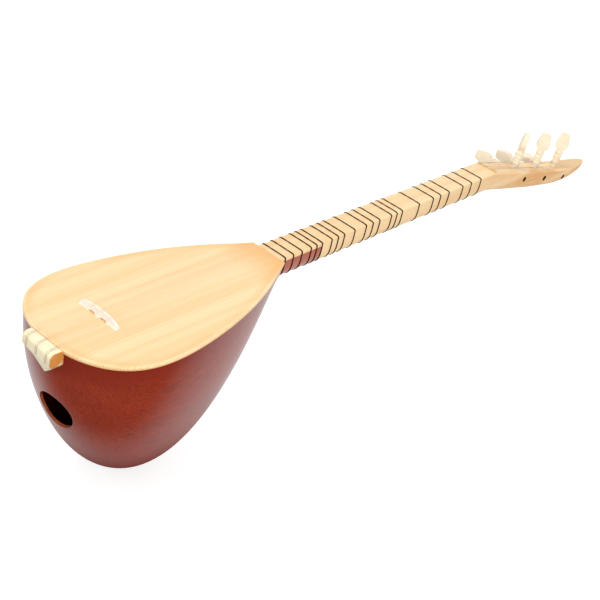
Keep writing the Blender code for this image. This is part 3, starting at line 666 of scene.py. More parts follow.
def section_group():
    """Bends a unit circle round Y into the neck's section at the same Y."""
    inputs = [("Position", VECTOR, None), ("Grow", FLOAT, 0.0), ("Nut place", FLOAT, NUT_Y),
              ("Length", FLOAT, NUT_TO_BOARD), ("Nut width", FLOAT, NUT_WIDTH),
              ("Body end width", FLOAT, BODY_END_WIDTH), ("Depth", FLOAT, NECK_DEPTH),
              ("Edge", FLOAT, NECK_EDGE), ("Top section", FLOAT, NECK_TOP_SECTION),
              ("Under section", FLOAT, NECK_SECTION)]
    t, given, made = node_group("Neck section", "GeometryNodeTree", inputs, [("Position", VECTOR)])
    x, y, z = t.split(given["Position"])
    edge, grow = given["Edge"], given["Grow"]
    share = t.math("DIVIDE", t.math("SUBTRACT", given["Nut place"], y), given["Length"])
    taper = t.math("SUBTRACT", given["Body end width"], given["Nut width"])
    wide = t.math("MULTIPLY", t.math("MULTIPLY_ADD", share, taper, given["Nut width"]), 0.5)
    half = t.math("ADD", wide, grow)
    above = t.math("GREATER_THAN", z, 0.0)
    below = t.math("SUBTRACT", 1.0, above)
    under = t.math("DIVIDE", 2.0, given["Under section"])
    top = t.math("DIVIDE", 2.0, given["Top section"])
    exponent = t.math("MULTIPLY_ADD", above, t.math("SUBTRACT", top, under), under)
    out_x = t.math("POWER", t.math("ABSOLUTE", x), exponent)
    out_z = t.math("POWER", t.math("ABSOLUTE", z), exponent)
    tall = t.math("ADD", t.math("MULTIPLY", above, edge),
                  t.math("MULTIPLY", below, t.math("SUBTRACT", given["Depth"], edge)))
    reach = t.math("MULTIPLY", t.math("ADD", tall, grow), out_z)
    bent_x = t.math("MULTIPLY", t.math("MULTIPLY", half, out_x), t.math("SIGN", x))
    bent_z = t.math("SUBTRACT", t.math("MULTIPLY", reach, t.math("SIGN", z)), edge)
    t.link(t.joined(bent_x, y, bent_z), made["Position"])


def bend_to_neck(t, shape, grow):
    """Move a shape's points on to the neck's section."""
    here = t.add("GeometryNodeInputPosition").outputs[0]
    bend = t.add("GeometryNodeGroup", {"Position": here, "Grow": grow},
                 node_tree=bpy.data.node_groups["Neck section"])
    return t.add("GeometryNodeSetPosition",
                 {"Geometry": shape, "Position": bend.outputs["Position"]}).outputs[0]


def neck_tree():
    """A fine unit tube from one end of the neck to the other, bent to the section."""
    t, given, made = piece_tree("Neck", [("Start", FLOAT, 0.0), ("End", FLOAT, 0.3),
                                         ("Steps", WHOLE, 60), ("Sides", WHOLE, 96)])
    start, end = given["Start"], given["End"]
    tube = t.add("GeometryNodeMeshCylinder",
                 {"Vertices": given["Sides"], "Side Segments": given["Steps"], "Radius": 1.0,
                  "Depth": t.math("SUBTRACT", end, start)}, fill_type="NGON")
    middle = t.joined(y=t.math("MULTIPLY", t.math("ADD", end, start), 0.5))
    turn = t.add("GeometryNodeTransform", {"Geometry": tube.outputs["Mesh"],
                                           "Rotation": QUARTER_TURN, "Translation": middle})
    end_tree(t, bend_to_neck(t, turn.outputs[0], 0.0), made, given)


def circle(t, radius, sides):
    return t.add("GeometryNodeCurvePrimitiveCircle", {"Resolution": sides, "Radius": radius},
                 mode="RADIUS").outputs["Curve"]


def swept(t, line, radius, sides, caps):
    """Sweep a round section along a curve."""
    return t.add("GeometryNodeCurveToMesh",
                 {"Curve": line, "Profile Curve": circle(t, radius, sides),
                  "Fill Caps": caps}).outputs[0]


def copies(t, points, shape):
    """Put a shape on every point, as real geometry."""
    spread = t.add("GeometryNodeInstanceOnPoints", {"Points": points, "Instance": shape})
    return t.add("GeometryNodeRealizeInstances", {0: spread.outputs[0]}).outputs[0]


def fret_tree():
    """At each given point the line goes round the neck a few times, turn beside turn."""
    t, given, made = piece_tree("Tied frets", [
        ("Turns", WHOLE, 3), ("Line radius", FLOAT, 0.0002), ("Gap", FLOAT, 0.0002),
        ("Sides", WHOLE, 8), ("Round", WHOLE, 72)])
    turns, line = given["Turns"], given["Line radius"]
    pitch = t.math("MULTIPLY", line, FRET_TURN_PITCH)
    back = t.math("MULTIPLY", t.math("SUBTRACT", turns, 1), -0.5)
    row = t.add("GeometryNodeMeshLine",
                {"Count": turns, "Offset": t.joined(y=pitch),
                 "Start Location": t.joined(y=t.math("MULTIPLY", back, pitch))}, mode="OFFSET")
    ring = t.add("GeometryNodeTransform", {"Geometry": circle(t, 1.0, given["Round"]),
                                           "Rotation": QUARTER_TURN})
    loops = copies(t, copies(t, given["Geometry"], row.outputs[0]), ring.outputs[0])
    bent = bend_to_neck(t, loops, t.math("ADD", line, given["Gap"]))
    end_tree(t, swept(t, bent, line, given["Sides"], False), made, given)


def winding_tree():
    """A string's turns round a peg, standing on Z."""
    t, given, made = piece_tree("Winding", [
        ("Turns", FLOAT, 4.0), ("Radius", FLOAT, 0.004), ("Height", FLOAT, 0.004),
        ("String radius", FLOAT, 0.0001), ("Sides", WHOLE, 8)])
    spiral = t.add("GeometryNodeCurveSpiral",
                   {"Resolution": 40, "Rotations": given["Turns"], "Height": given["Height"],
                    "Start Radius": given["Radius"], "End Radius": given["Radius"]})
    coil = swept(t, spiral.outputs[0], given["String radius"], given["Sides"], True)
    end_tree(t, coil, made, given)


def string_tree():
    """Rounds each given run of edges into a string."""
    t, given, made = piece_tree("Strings", [("String radius", FLOAT, 0.0001),
                                            ("Sides", WHOLE, 10)])
    line = t.add("GeometryNodeMeshToCurve", {0: given["Geometry"]}).outputs[0]
    end_tree(t, swept(t, line, given["String radius"], given["Sides"], True), made, given)


def grown(name, tree, points=(), runs=(), **values):
    """Run a tree on points, joined by runs, and keep its result as a plain mesh."""
    mesh = bpy.data.meshes.new(name)
    mesh.from_pydata([tuple(p) for p in points], list(runs), [])
    obj = new_object(name, mesh)
    mod = obj.modifiers.new(tree, "NODES")
    mod.node_group = bpy.data.node_groups[tree]
    for item in mod.node_group.interface.items_tree:
        key = item.name.replace(" ", "_")
        if item.item_type == "SOCKET" and item.in_out == "INPUT" and key in values:
            mod[item.identifier] = values[key]
    return baked(obj)


# materials

def noise(t, place, scale, detail=3.0, rough=0.55):
    return t.add("ShaderNodeTexNoise", {"Vector": place, "Scale": scale, "Detail": detail,
                                        "Roughness": rough}).outputs[0]


def grain_group():
    """Grain that runs along Y: fine lines, broad bands, short pores and yearly rings."""
    inputs = [("Line size", FLOAT, 0.0012), ("Band size", FLOAT, 0.012),
              ("Ring size", FLOAT, 0.0016), ("Stretch", FLOAT, 30.0), ("Sway", FLOAT, 0.002)]
    outputs = [("Lines", FLOAT), ("Bands", FLOAT), ("Pores", FLOAT), ("Rings", FLOAT)]
    t, given, made = node_group("Wood grain", "ShaderNodeTree", inputs, outputs)
    squeeze = t.joined(1.0, t.math("DIVIDE", 1.0, given["Stretch"]), 1.0)
    place = t.vector("MULTIPLY", t.spot(), squeeze)
    lines = noise(t, place, t.math("DIVIDE", 1.0, given["Line size"]), 4.0, 0.62)
    bands = noise(t, place, t.math("DIVIDE", 1.0, given["Band size"]), 3.0, 0.5)
    pores = noise(t, place, t.math("DIVIDE", 2.6, given["Line size"]), 1.0, 0.5)
    sway = noise(t, place, 60.0, 2.0)
    x, _, z = t.split(place)
    across = t.math("ADD", t.math("MULTIPLY_ADD", z, 0.35, x),
                    t.math("MULTIPLY", sway, given["Sway"]))
    turns = t.math("FRACT", t.math("DIVIDE", across, given["Ring size"]))
    rings = t.math("SUBTRACT", t.ramp(turns, 0.15, 0.92), t.ramp(turns, 0.94, 1.0))
    t.link(t.ramp(lines, 0.40, 0.66), made["Lines"])
    t.link(t.ramp(bands, 0.36, 0.64), made["Bands"])
    t.link(t.ramp(pores, 0.66, 0.76), made["Pores"])
    t.link(rings, made["Rings"])


def handling_group():
    """What hands and polish leave on a surface: faint smears and a fine ripple."""
    inputs = [("Gloss", FLOAT, 0.3), ("Smear", FLOAT, 0.06), ("Ripple size", FLOAT, 0.02)]
    outputs = [("Roughness", FLOAT), ("Ripple", FLOAT)]
    t, given, made = node_group("Handling", "ShaderNodeTree", inputs, outputs)
    place = t.spot()
    smear = t.math("SUBTRACT", noise(t, place, 38.0, 4.0, 0.6), 0.5)
    fine = t.math("SUBTRACT", noise(t, place, 900.0, 2.0), 0.5)
    both = t.math("ADD", smear, t.math("MULTIPLY", fine, 0.4))
    t.link(t.math("MULTIPLY_ADD", both, given["Smear"], given["Gloss"]), made["Roughness"])
    t.link(noise(t, place, t.math("DIVIDE", 1.0, given["Ripple size"]), 1.0), made["Ripple"])


def new_material(name):
    """A material, its tree and its Principled shader."""
    mat = bpy.data.materials.new(name)
    mat.use_nodes = True
    return mat, Tree(mat.node_tree), mat.node_tree.nodes["Principled BSDF"]


def shade(colour, factor, warm=0.0):
    """A darker or lighter tone of a colour, pulled a little towards amber."""
    r, g, b = (c * factor for c in colour[:3])
    return (min(r * (1 + warm), 1.0), min(g, 1.0), max(b * (1 - warm), 0.0))


class Finish:
    """A material under way: its tree, its Principled shader and its colour so far."""

    def __init__(self, name, colour, rough, coat=0.0, coat_rough=0.1, metal=0.0, specular=0.3):
        self.mat, self.t, self.shader = new_material(name)
        self.mat.diffuse_color = self.colour = tint(colour)
        for key, value in (("Specular IOR Level", specular), ("Coat Weight", coat),
                           ("Coat Roughness", coat_rough), ("Metallic", metal)):
            self.shader.inputs[key].default_value = value
        self.base, self.rough, self.heights = tuple(colour), rough, []

    def group(self, name, **values):
        inputs = {key.replace("_", " "): value for key, value in values.items()}
        return self.t.add("ShaderNodeGroup", inputs, node_tree=bpy.data.node_groups[name]).outputs

    def grain(self, **measures):
        return self.group("Wood grain", **measures)

    def layer(self, mask, colour, strength):
        """Lay a colour over what is there, through a mask."""
        share = self.t.math("MULTIPLY", mask, strength, clamp=True)
        self.colour = self.t.blend(share, self.colour, colour)

    def tone(self, mask, factor, warm, strength):
        """Lay a tone of the wood's own colour, scaled by the user's grain setting."""
        self.layer(mask, shade(self.base, factor, warm), strength * finish().grain)

    def relief(self, height, share):
        self.heights.append(self.t.math("MULTIPLY", height, share))

    def done(self, depth=0.00005, smear=0.06, ripple=0.02, ripple_share=0.0):
        t = self.t
        t.feed(self.shader.inputs["Base Color"], self.colour)
        hands = self.group("Handling", Gloss=self.rough, Smear=smear, Ripple_size=ripple)
        t.link(hands["Roughness"], self.shader.inputs["Roughness"])
        if ripple_share:
            self.relief(hands["Ripple"], ripple_share)
        total = self.heights[0]
        for height in self.heights[1:]:
            total = t.math("ADD", total, height)
        bump = t.add("ShaderNodeBump", {"Distance": depth, "Strength": 1.0, "Height": total})
        t.link(bump.outputs[0], self.shader.inputs["Normal"])
        return self.mat


def bowl_wood():
    """Red stain under varnish, which shines most where the bowl turns away."""
    f = Finish("stained bowl", finish().bowl, 0.30, coat_rough=0.05, specular=0.0)
    ramp = f.t.ramp
    _, y, z = f.t.split(f.t.spot())
    slope = f.t.add("ShaderNodeLayerWeight").outputs["Facing"]
    gloss = f.t.math("MULTIPLY", ramp(slope, 0.42, 0.76, 0.05, 1.0),
                     ramp(z, -0.150, -0.070, 0.10, 1.0))
    f.t.link(gloss, f.shader.inputs["Coat Weight"])
    f.shader.inputs["Coat IOR"].default_value = 2.20
    grain = f.grain(Line_size=0.0011, Band_size=0.020, Stretch=26.0, Sway=0.006)
    cut = f.grain(Ring_size=0.0075, Band_size=0.045, Stretch=3.0, Sway=0.030)
    f.tone(cut["Bands"], 0.68, 0.10, 0.70)
    f.tone(cut["Rings"], 0.62, 0.0, 0.40)
    f.tone(grain["Bands"], 0.66, 0.0, 0.45)
    f.tone(grain["Lines"], 1.45, 0.05, 0.50)
    f.tone(grain["Pores"], 0.40, 0.0, 0.45)
    # painted shade: the bowl darker just under the soundboard's overhanging edge
    f.layer(ramp(z, -0.034, -0.002), SHADE_UNDER_RIM, 0.85)
    # painted shade: the bowl darker towards its bottom, away from the light
    f.layer(ramp(z, -0.160, -0.105, 1.0, 0.0), SHADE_TOWARDS_BOTTOM, 0.70)
    # painted sheen: the heel, where the bowl runs into the neck, lighter and pinker for grazing
    # light
    f.layer(ramp(y, BOARD_END_Y - 0.012, BOARD_END_Y + 0.006), HEEL_PAINTED_SHEEN, 0.85)
    f.relief(grain["Pores"], -0.4)
    f.relief(grain["Lines"], 0.15)
    return f.done(0.00004, smear=0.07, ripple=0.05, ripple_share=1.0)


def cut_edge():
    """The sound hole's wall, where the stain lets the wood show through."""
    f = Finish("sound hole wall", HOLE_WALL, 0.34, coat=0.5)
    grain = f.grain(Line_size=0.0010, Band_size=0.006, Stretch=3.0, Sway=0.002)
    f.layer(grain["Bands"], HOLE_WALL_BANDS, 0.7)
    f.layer(grain["Pores"], HOLE_WALL_PORES, 0.5)
    f.relief(grain["Lines"], 0.4)
    return f.done(0.00004)


def board_wood():
    """Spruce that the varnish has darkened in patches along the rim and at the neck."""
    f = Finish("varnished spruce", finish().board, 0.34, coat=0.45, coat_rough=0.08, specular=0.2)
    ramp = f.t.ramp
    grain = f.grain(Line_size=0.0010, Band_size=0.016, Ring_size=0.0019, Stretch=70.0, Sway=0.009)
    f.tone(grain["Bands"], 0.84, 0.20, 0.60)
    f.tone(grain["Lines"], 1.06, 0.0, 0.40)
    streaks = f.t.math("MULTIPLY", grain["Rings"], ramp(grain["Bands"], 0.0, 1.0, 0.35, 1.0))
    f.tone(streaks, 0.68, 0.26, 0.62)
    rim = f.t.add("ShaderNodeAttribute", attribute_name="rim", attribute_type="GEOMETRY")
    from_edge = rim.outputs["Fac"]
    burst = f.t.math("MULTIPLY", ramp(from_edge, 0.001, 0.003),
                     ramp(from_edge, 0.003, 0.011, 1.0, 0.0))
    cloud = noise(f.t, f.t.spot(), 11.0, 2.0)
    burst = f.t.math("MULTIPLY", burst, ramp(cloud, 0.35, 0.60, 0.25, 1.0))
    f.layer(burst, VARNISH_NEAR_RIM, 0.46)
    _, y, z = f.t.split(f.t.spot())
    f.layer(ramp(y, BOARD_END_Y - 0.050, BOARD_END_Y + 0.004), VARNISH_AT_NECK, 0.80)
    # a darker orange band down the lower side of the board's edge
    f.layer(ramp(z, -BOARD_THICKNESS + 0.0004, -0.0013, 1.0, 0.0), ORANGE_EDGE_BAND, 0.75)
    f.relief(grain["Rings"], 0.25)
    f.relief(grain["Lines"], 0.2)
    return f.done(0.00003, smear=0.05, ripple=0.03, ripple_share=0.8)


def neck_wood():
    """One plank for neck and head; the head, cut across it, shows more of the grain, and its tip
    carries painted shade.
    """
    made = bpy.data.materials.get("neck beech")
    if made:
        return made
    f = Finish("neck beech", finish().neck, 0.40, coat=0.08, coat_rough=0.18, specular=0.2)
    ramp = f.t.ramp
    grain = f.grain(Line_size=0.0014, Band_size=0.011, Stretch=22.0, Sway=0.004)
    _, y, _ = f.t.split(f.t.spot())
    streak = ramp(y, NUT_Y - 0.02, NUT_Y + 0.07, 0.35, 1.0)
    f.tone(f.t.math("MULTIPLY", grain["Bands"], streak), 0.58, 0.42, 1.0)
    f.tone(grain["Lines"], 1.05, 0.0, 0.40)
    # painted shade at the head's carved tip: a dark ring round a tan oval, for the shading of its
    # end
    middle = head_matrix() @ Vector((0.0, TIP_OVAL_AT * HEAD_LENGTH, 0.004))
    reach = f.t.vector("SUBTRACT", f.t.spot(), middle)
    far = f.t.vector("LENGTH", f.t.vector("DIVIDE", reach, TIP_OVAL))
    f.layer(ramp(far, 1.10, 1.70, 1.0, 0.0), shade(f.base, 0.60, 0.30), 0.65)
    f.layer(ramp(far, 0.95, 1.06, 1.0, 0.0), TIP_SHADE_OVAL, 0.85)
    f.tone(grain["Pores"], 0.62, 0.05, 0.35)
    f.relief(grain["Lines"], 0.3)
    f.relief(grain["Pores"], -0.3)
    return f.done(0.00004, smear=0.08)


def block_wood():
    """Maple, with darker end grain on the block's two short ends."""
    f = Finish("tail block maple", finish().block, 0.36, coat=0.2, coat_rough=0.15, specular=0.2)
    grain = f.grain(Line_size=0.0016, Band_size=0.008, Stretch=1.0, Sway=0.003)
    f.tone(grain["Bands"], 0.90, 0.10, 0.50)
    f.tone(grain["Lines"], 1.06, 0.0, 0.40)
    x, _, _ = f.t.split(f.t.spot())
    half = BLOCK_WIDTH / 2
    ends = f.t.ramp(f.t.math("ABSOLUTE", x), half - 0.0012, half - 0.0003)
    patch = f.t.ramp(noise(f.t, f.t.spot(), 110.0), 0.16, 0.44)
    f.layer(f.t.math("MULTIPLY", ends, patch), END_GRAIN, 1.0)
    f.relief(grain["Lines"], 0.4)
    return f.done(0.00004, smear=0.07)


def pale_wood(name, base, line, rough, coat, mark):
    """Bare or lightly polished wood; line is the grain's size and mark its strength."""
    f = Finish(name, base, rough, coat=coat, coat_rough=0.2, specular=0.2)
    grain = f.grain(Line_size=line, Band_size=line * 6, Stretch=9.0, Sway=0.002)
    f.tone(grain["Bands"], 0.86, 0.10, mark)
    f.tone(grain["Lines"], 0.78, 0.08, 0.6 * mark)
    f.tone(grain["Pores"], 0.55, 0.06, 0.4 * mark)
    f.relief(grain["Lines"], 0.4)
    f.relief(grain["Pores"], -0.3)
    return f.done(0.00003, smear=0.08)


def nut_wood():
    f = Finish("nut", NUT_WOOD, 0.32, coat=0.3, coat_rough=0.15)
    grain = f.grain(Line_size=0.0008, Band_size=0.004, Stretch=1.0, Sway=0.002)
    f.layer(grain["Bands"], NUT_BANDS, 0.7)
    f.layer(grain["Pores"], NUT_PORES, 0.4)
    f.relief(grain["Lines"], 0.3)
    return f.done(0.00003)


def bore_painted_shade():
    """The peg holes' walls, painted dark for the shade inside the holes."""
    f = Finish("bore painted shade", BORE_SHADE, 0.6)
    grain = f.grain(Line_size=0.0009, Band_size=0.003, Stretch=4.0, Sway=0.001)
    f.layer(grain["Bands"], BORE_SHADE_BANDS, 0.6)
    f.relief(grain["Lines"], 0.5)
    return f.done(0.00003)


def line_nylon():
    f = Finish("fret line", finish().fret, 0.5, specular=0.06)
    grain = f.grain(Line_size=0.0005, Band_size=0.003, Stretch=1.0, Sway=0.001)
    f.layer(grain["Bands"], shade(f.base, 1.9, 0.1), 0.5)
    f.relief(grain["Lines"], 0.5)
    return f.done(0.00002)


def string_steel():
    """Bright steel over the board, darker at the tail and past the nut."""
    f = Finish("string steel", finish().steel, 0.28, metal=1.0)
    grain = f.grain(Line_size=0.0004, Band_size=0.006, Stretch=6.0, Sway=0.001)
    f.layer(grain["Bands"], shade(f.base, 0.72, 0.05), 0.5)
    _, y, _ = f.t.split(f.t.spot())
    # darker steel from the tail and past the nut
    darker_ends = f.t.math("MAXIMUM", f.t.ramp(y, TAIL_Y, TAIL_Y + 0.004, 1.0, 0.0),
                       f.t.ramp(y, NUT_Y - 0.004, NUT_Y))
    f.layer(darker_ends, STRING_ENDS_DARK, 0.9)
    f.relief(grain["Lines"], 0.4)
    return f.done(0.00001, smear=0.10)


# body

def build_bowl():
    obj = lofted("bowl_skin", bowl_outer())
    boolean(obj, loft("bowl hollow", bowl_inner()))
    boolean(obj, hole_cutter(sizes().hole_round))
    dress(smooth(obj, 40), bowl_wood(), "body", ["bowl"])
    obj.data.materials.append(cut_edge())
    mark_bores(obj.data, [(hole_matrix(), lambda depth: SOUND_HOLE_RADIUS)])
    return obj


def board_outline(stations, columns):
    """The board's edge as a loop of places, and the edge's radius at each of them."""
    half = Swell(PLAN_SHAPE, TAIL_Y, OUTLINE_END_Y, neck_half_width(OUTLINE_END_Y), BODY_WIDTH / 2)
    first = TAIL_Y + BOARD_FLAT
    ys = [first + (BOARD_END_Y - first) * (i / stations) ** 1.6 for i in range(stations + 1)]
    right = [(half(y), y) for y in ys]
    end, tail = right[-1][0], right[0][0]
    shares = [1 - 2 * j / columns for j in range(1, columns)]
    loop = right + [(end * s, BOARD_END_Y) for s in shares]
    loop += [(-x, y) for x, y in reversed(right)] + [(-tail * s, first) for s in shares]
    full = sizes().board_round
    small = full * BOARD_CORNER_ROUND
    near = [min(i, stations - i) for i in range(stations + 1)]
    side = [small + (full - small) * min(n / 5, 1.0) for n in near]
    ends = [small] * (columns - 1)
    return loop, side + ends + side[::-1] + ends


def inset_loop(loop, radii, share):
    """Move a closed loop inwards by a share of each point's radius."""
    count = len(loop)
    moved = []
    for i in range(count):
        p, q, r = (Vector(loop[k % count]) for k in (i - 1, i, i + 1))
        first, second = (q - p).normalized(), (r - q).normalized()
        n1, n2 = Vector((first.y, -first.x)), Vector((second.y, -second.x))
        moved.append(q - (n1 + n2) / (1 + n1.dot(n2)) * radii[i] * share)
    return moved


def build_soundboard(stations=130, columns=44):
    loop, radii = board_outline(stations, columns)
    profile = []
    for k in range(7):
        a = math.pi / 2 * k / 6
        profile.append((1 - math.sin(a), 1 - math.cos(a)))
    bm = bmesh.new()
    rings = []
    for inset, down in profile:
        spots = inset_loop(loop, radii, inset)
        rings.append([bm.verts.new((p.x, p.y, -down * r)) for p, r in zip(spots, radii)])
    for inset, rise in ((0.0, 1.0), (0.3, 0.3), (1.0, 0.0)):
        spots = inset_loop(loop, [BOARD_LOW_ROUND] * len(loop), inset)
        z = -BOARD_THICKNESS + BOARD_LOW_ROUND * rise
        rings.append([bm.verts.new((p.x, p.y, z)) for p in spots])
    count = len(loop)
    for a, b in zip(rings, rings[1:]):
        for i in range(count):
            j = (i + 1) % count
            bm.faces.new((a[i], b[i], b[j], a[j]))
    bm.faces.new(rings[-1][::-1])
    edge = rings[0]
    left_end = stations + columns + stations
    rows = []
    for i in range(stations + 1):
        a, b = edge[i], edge[left_end - i]
        if i == 0:
            middle = edge[left_end + 1:][::-1]
        elif i == stations:
            middle = edge[stations + 1:stations + columns]
        else:
            middle = [bm.verts.new(a.co.lerp(b.co, j / columns)) for j in range(1, columns)]
        rows.append([a] + middle + [b])
    for a, b in zip(rows, rows[1:]):
        for j in range(columns):
            bm.faces.new((a[j], b[j], b[j + 1], a[j + 1]))
    obj = new_object("soundboard_varnished", mesh_from_bmesh("soundboard_varnished", bm))
    line = np.array([p for k, p in enumerate(loop) if not stations < k < stations + columns])
    spots = np.array([v.co[:2] for v in obj.data.vertices])
    rim = [float(np.hypot(*(line - spot).T).min()) for spot in spots]
    layer = obj.data.attributes.new("rim", "FLOAT", "POINT")
    layer.data.foreach_set("value", rim)
    return dress(smooth(obj, 30), board_wood(), "body", ["soundboard"])


# tail block

def block_face(x):
    """The block's front face; the block is thinner at its bass end."""
    share = x / BLOCK_WIDTH + 0.5
    return TAIL_Y - BLOCK_OUT_BASS - (BLOCK_OUT_TREBLE - BLOCK_OUT_BASS) * share


def block_profile(x, steps=14):
    inner = TAIL_Y + BOARD_FLAT - CLEARANCE
    back = TAIL_Y + 8 * BOWL_WALL
    face = block_face(x)
    points = [(inner, 0.0)]
    for i in range(steps + 1):
        a = math.radians(90 + 90 * i / steps)
        points.append((face + BLOCK_ROUND * (1 + math.cos(a)), BLOCK_ROUND * (math.sin(a) - 1)))
    points += [(face, -BLOCK_FACE_HEIGHT), (TAIL_Y + BLOCK_TIP_THICKNESS, -BLOCK_TIP_HEIGHT),
               (back, -BLOCK_TIP_HEIGHT), (back, RIM_Z), (inner, RIM_Z)]
    return points


def block_shield():
    """Front view of the block: straight ends and a pointed apron."""
    side, half = BLOCK_WIDTH, BLOCK_WIDTH / 2
    bass, treble = BLOCK_SHOULDER_BASS, BLOCK_SHOULDER_TREBLE
    return [(side, BLOCK_ROUND), (-side, BLOCK_ROUND), (-side, -BLOCK_END_HEIGHT),
            (-half, -BLOCK_END_HEIGHT), (-bass[0], -bass[1]), (0.0, -BLOCK_TIP_HEIGHT),
            (treble[0], -treble[1]), (half, -BLOCK_END_HEIGHT), (side, -BLOCK_END_HEIGHT)]


def cone(name, radius_low, radius_high, low, high, matrix, sides=40):
    rings = [[matrix @ Vector((r * math.cos(a), r * math.sin(a), z)) for a in angles_round(sides)]
             for r, z in ((radius_low, low), (radius_high, high))]
    return loft(name, rings)


def string_x(index, spacing):
    """Sideways place of one of the six strings where courses have this spacing."""
    course, second = divmod(index, 2)
    return (course - 1) * spacing + (second - 0.5) * STRING_PAIR


def build_tail_block():
    half = BLOCK_WIDTH / 2
    rings = [[(x, y, z) for y, z in block_profile(x)] for x in (-half, half)]
    obj = lofted("tail_block_wood", rings)
    out, back = block_face(half) - BLOCK_ROUND, TAIL_Y + 12 * BOWL_WALL
    boolean(obj, prism("shield", block_shield(), out, back, "Y"), "INTERSECT")
    bevelled(obj, BLOCK_EDGE * 1.3, 5, 42)
    boolean(obj, loft("bowl seat", bowl_outer(grow=CLEARANCE / 3)))
    for i in range(6):
        x = string_x(i, COURSES_AT_TAIL)
        place = Matrix.Translation((x, block_face(x), -STRING_TIE_DOWN)) @ turned_about("X", -90)
        boolean(obj, cone("tie hole", STRING_TIE_RADIUS, STRING_TIE_RADIUS, -STRING_TIE_DEPTH / 2,
                          STRING_TIE_DEPTH, place, sides=20))
    return dress(smooth(obj, 35), block_wood(), "body", ["tail_block"])


# neck, frets and head

def build_neck():
    wood = neck_wood()
    start = BOARD_END_Y + CLEARANCE / 3
    obj = grown("neck_wood", "Neck", Start=start, End=NUT_Y + CLEARANCE / 2,
                Steps=80, Sides=128, Material=wood)
    wide, low = BODY_END_WIDTH, -2 * NECK_DEPTH
    heel, tongue = HEEL_END_Y + CLEARANCE / 3, -BOARD_THICKNESS - CLEARANCE / 3
    outline = [(start - wide, low), (heel, low), (heel, tongue), (start - wide, tongue)]
    boolean(obj, prism("heel lap", outline, -wide, wide, "X"))
    return dress(smooth(obj, 35), wood, "body", ["neck"])


def build_frets():
    numbers = range(1, len(FRET_CENTS) + 1)
    spots = [(0.0, NUT_Y - fret_reach(n), 0.0) for n in numbers]
    nylon = line_nylon()
    obj = grown("tied_frets", "Tied frets", spots, Turns=sizes().fret_strands,
                Line_radius=sizes().fret_line, Gap=FRET_GAP, Sides=8, Round=72, Material=nylon)
    return dress(smooth(obj, 60), nylon, "body", ["fret_%02d" % n for n in numbers])


def head_matrix():
    """The head's own frame: Y along its face away from the nut, Z out of its face."""
    place = Matrix.Translation((0.0, NUT_Y, -HEAD_DROP))
    return place @ turned_about("X", -HEAD_TILT)


def head_half_width(s):
    share = (s / HEAD_LENGTH - HEAD_NARROWS_AT) / (1 - HEAD_NARROWS_AT)
    return NUT_WIDTH / 2 * math.sqrt(max(1 - max(share, 0.0) ** HEAD_TIP_CURVE, 0.0))


def head_depth(s):
    bend, flat = HEAD_DEPTH_CURVE
    return HEAD_DEPTH * (1 - held(s / HEAD_LENGTH) ** bend) ** flat


def head_ring(s, matrix, sides=96):
    rise = max(s / HEAD_LENGTH - HEAD_NARROWS_AT, 0.0) / (1 - HEAD_NARROWS_AT)
    half, top, low = head_half_width(s), HEAD_TIP_RISE * rise * rise, head_depth(s)
    edge = min(NECK_EDGE, half / 3)
    ring = []
    for a in angles_round(sides, 0.5):
        c, v = math.cos(a), math.sin(a)
        bend = 2 / (NECK_TOP_SECTION if v > 0 else NECK_SECTION)
        tall = edge if v > 0 else max(low - edge, edge / 4)
        z = top - edge + tall * power(v, bend)
        ring.append(matrix @ Vector((half * power(c, bend), s, z)))
    return ring


def front_peg_matrix(index):
    s = PEG_FIRST + PEG_PITCH * index
    return head_matrix() @ Matrix.Translation((0.0, s, 0.0)), head_depth(s)


def side_peg_matrix(index):
    s = PEG_FIRST + PEG_SIDE_STEP + PEG_PITCH * index
    half = head_half_width(s)
    place = Matrix.Translation((-half, s, -PEG_SIDE_DEPTH))
    return head_matrix() @ place @ turned_about("Y", -90), 2 * half


def peg_radius(depth):
    """The shaft's radius this far inside the wood."""
    return PEG_RADIUS + (PEG_END_RADIUS - PEG_RADIUS) * depth / PEG_TAPER_LENGTH


def peg_places():
    """Name, frame, depth of the hole, recess of the small end and turn of each peg."""
    rows = (("front_peg_%d", front_peg_matrix, PEG_RECESS_FRONT, PEG_TURNS_FRONT),
            ("side_peg_%d", side_peg_matrix, PEG_RECESS_SIDE, PEG_TURNS_SIDE))
    return [(name % (i + 1), *place(i), recess, turns[i])
            for name, place, recess, turns in rows for i in range(3)]


def build_headstock(rows=90):
    matrix = head_matrix()
    start, run = HEAD_RUN
    shares = [start + run * (1 - (1 - i / rows) ** 2.0) for i in range(rows + 1)]
    rings = [head_ring(t * HEAD_LENGTH, matrix) for t in shares]
    obj = lofted("headstock_wood", rings)
    front = NUT_Y + CLEARANCE / 2 + TOUCH / 3
    outline = [(NUT_Y - 0.05, -0.07), (front, -0.07), (front, 0.03), (NUT_Y - 0.05, 0.03)]
    boolean(obj, prism("head joint", outline, -NUT_WIDTH, NUT_WIDTH, "X"))
    over = PEG_REAM_OVER
    for name, place, through, _, _ in peg_places():
        boolean(obj, cone(name, peg_radius(through + over) + PEG_CLEARANCE,
                          peg_radius(-over) + PEG_CLEARANCE, -through - over, over, place))
    dress(smooth(obj, 35), neck_wood(), "body", ["headstock"])
    # the walls of the peg holes get the painted shade
    obj.data.materials.append(bore_painted_shade())
    mark_bores(obj.data, [(place, lambda depth: peg_radius(depth) + PEG_CLEARANCE)
                          for _, place, _, _, _ in peg_places()])
    return obj


def mark_bores(mesh, bores):
    """Give the walls of round holes the mesh's second material."""
    spots = np.array([v.co for v in mesh.vertices])
    for place, radius in bores:
        turn = np.array(place.inverted())
        local = spots @ turn[:3, :3].T + turn[:3, 3]
        reach = np.hypot(local[:, 0], local[:, 1])
        wall = np.array([radius(-z) for z in local[:, 2]])
        inside = np.abs(reach - wall) < 2 * TOUCH
        for face in mesh.polygons:
            if all(inside[i] for i in face.vertices):
                face.material_index = 1


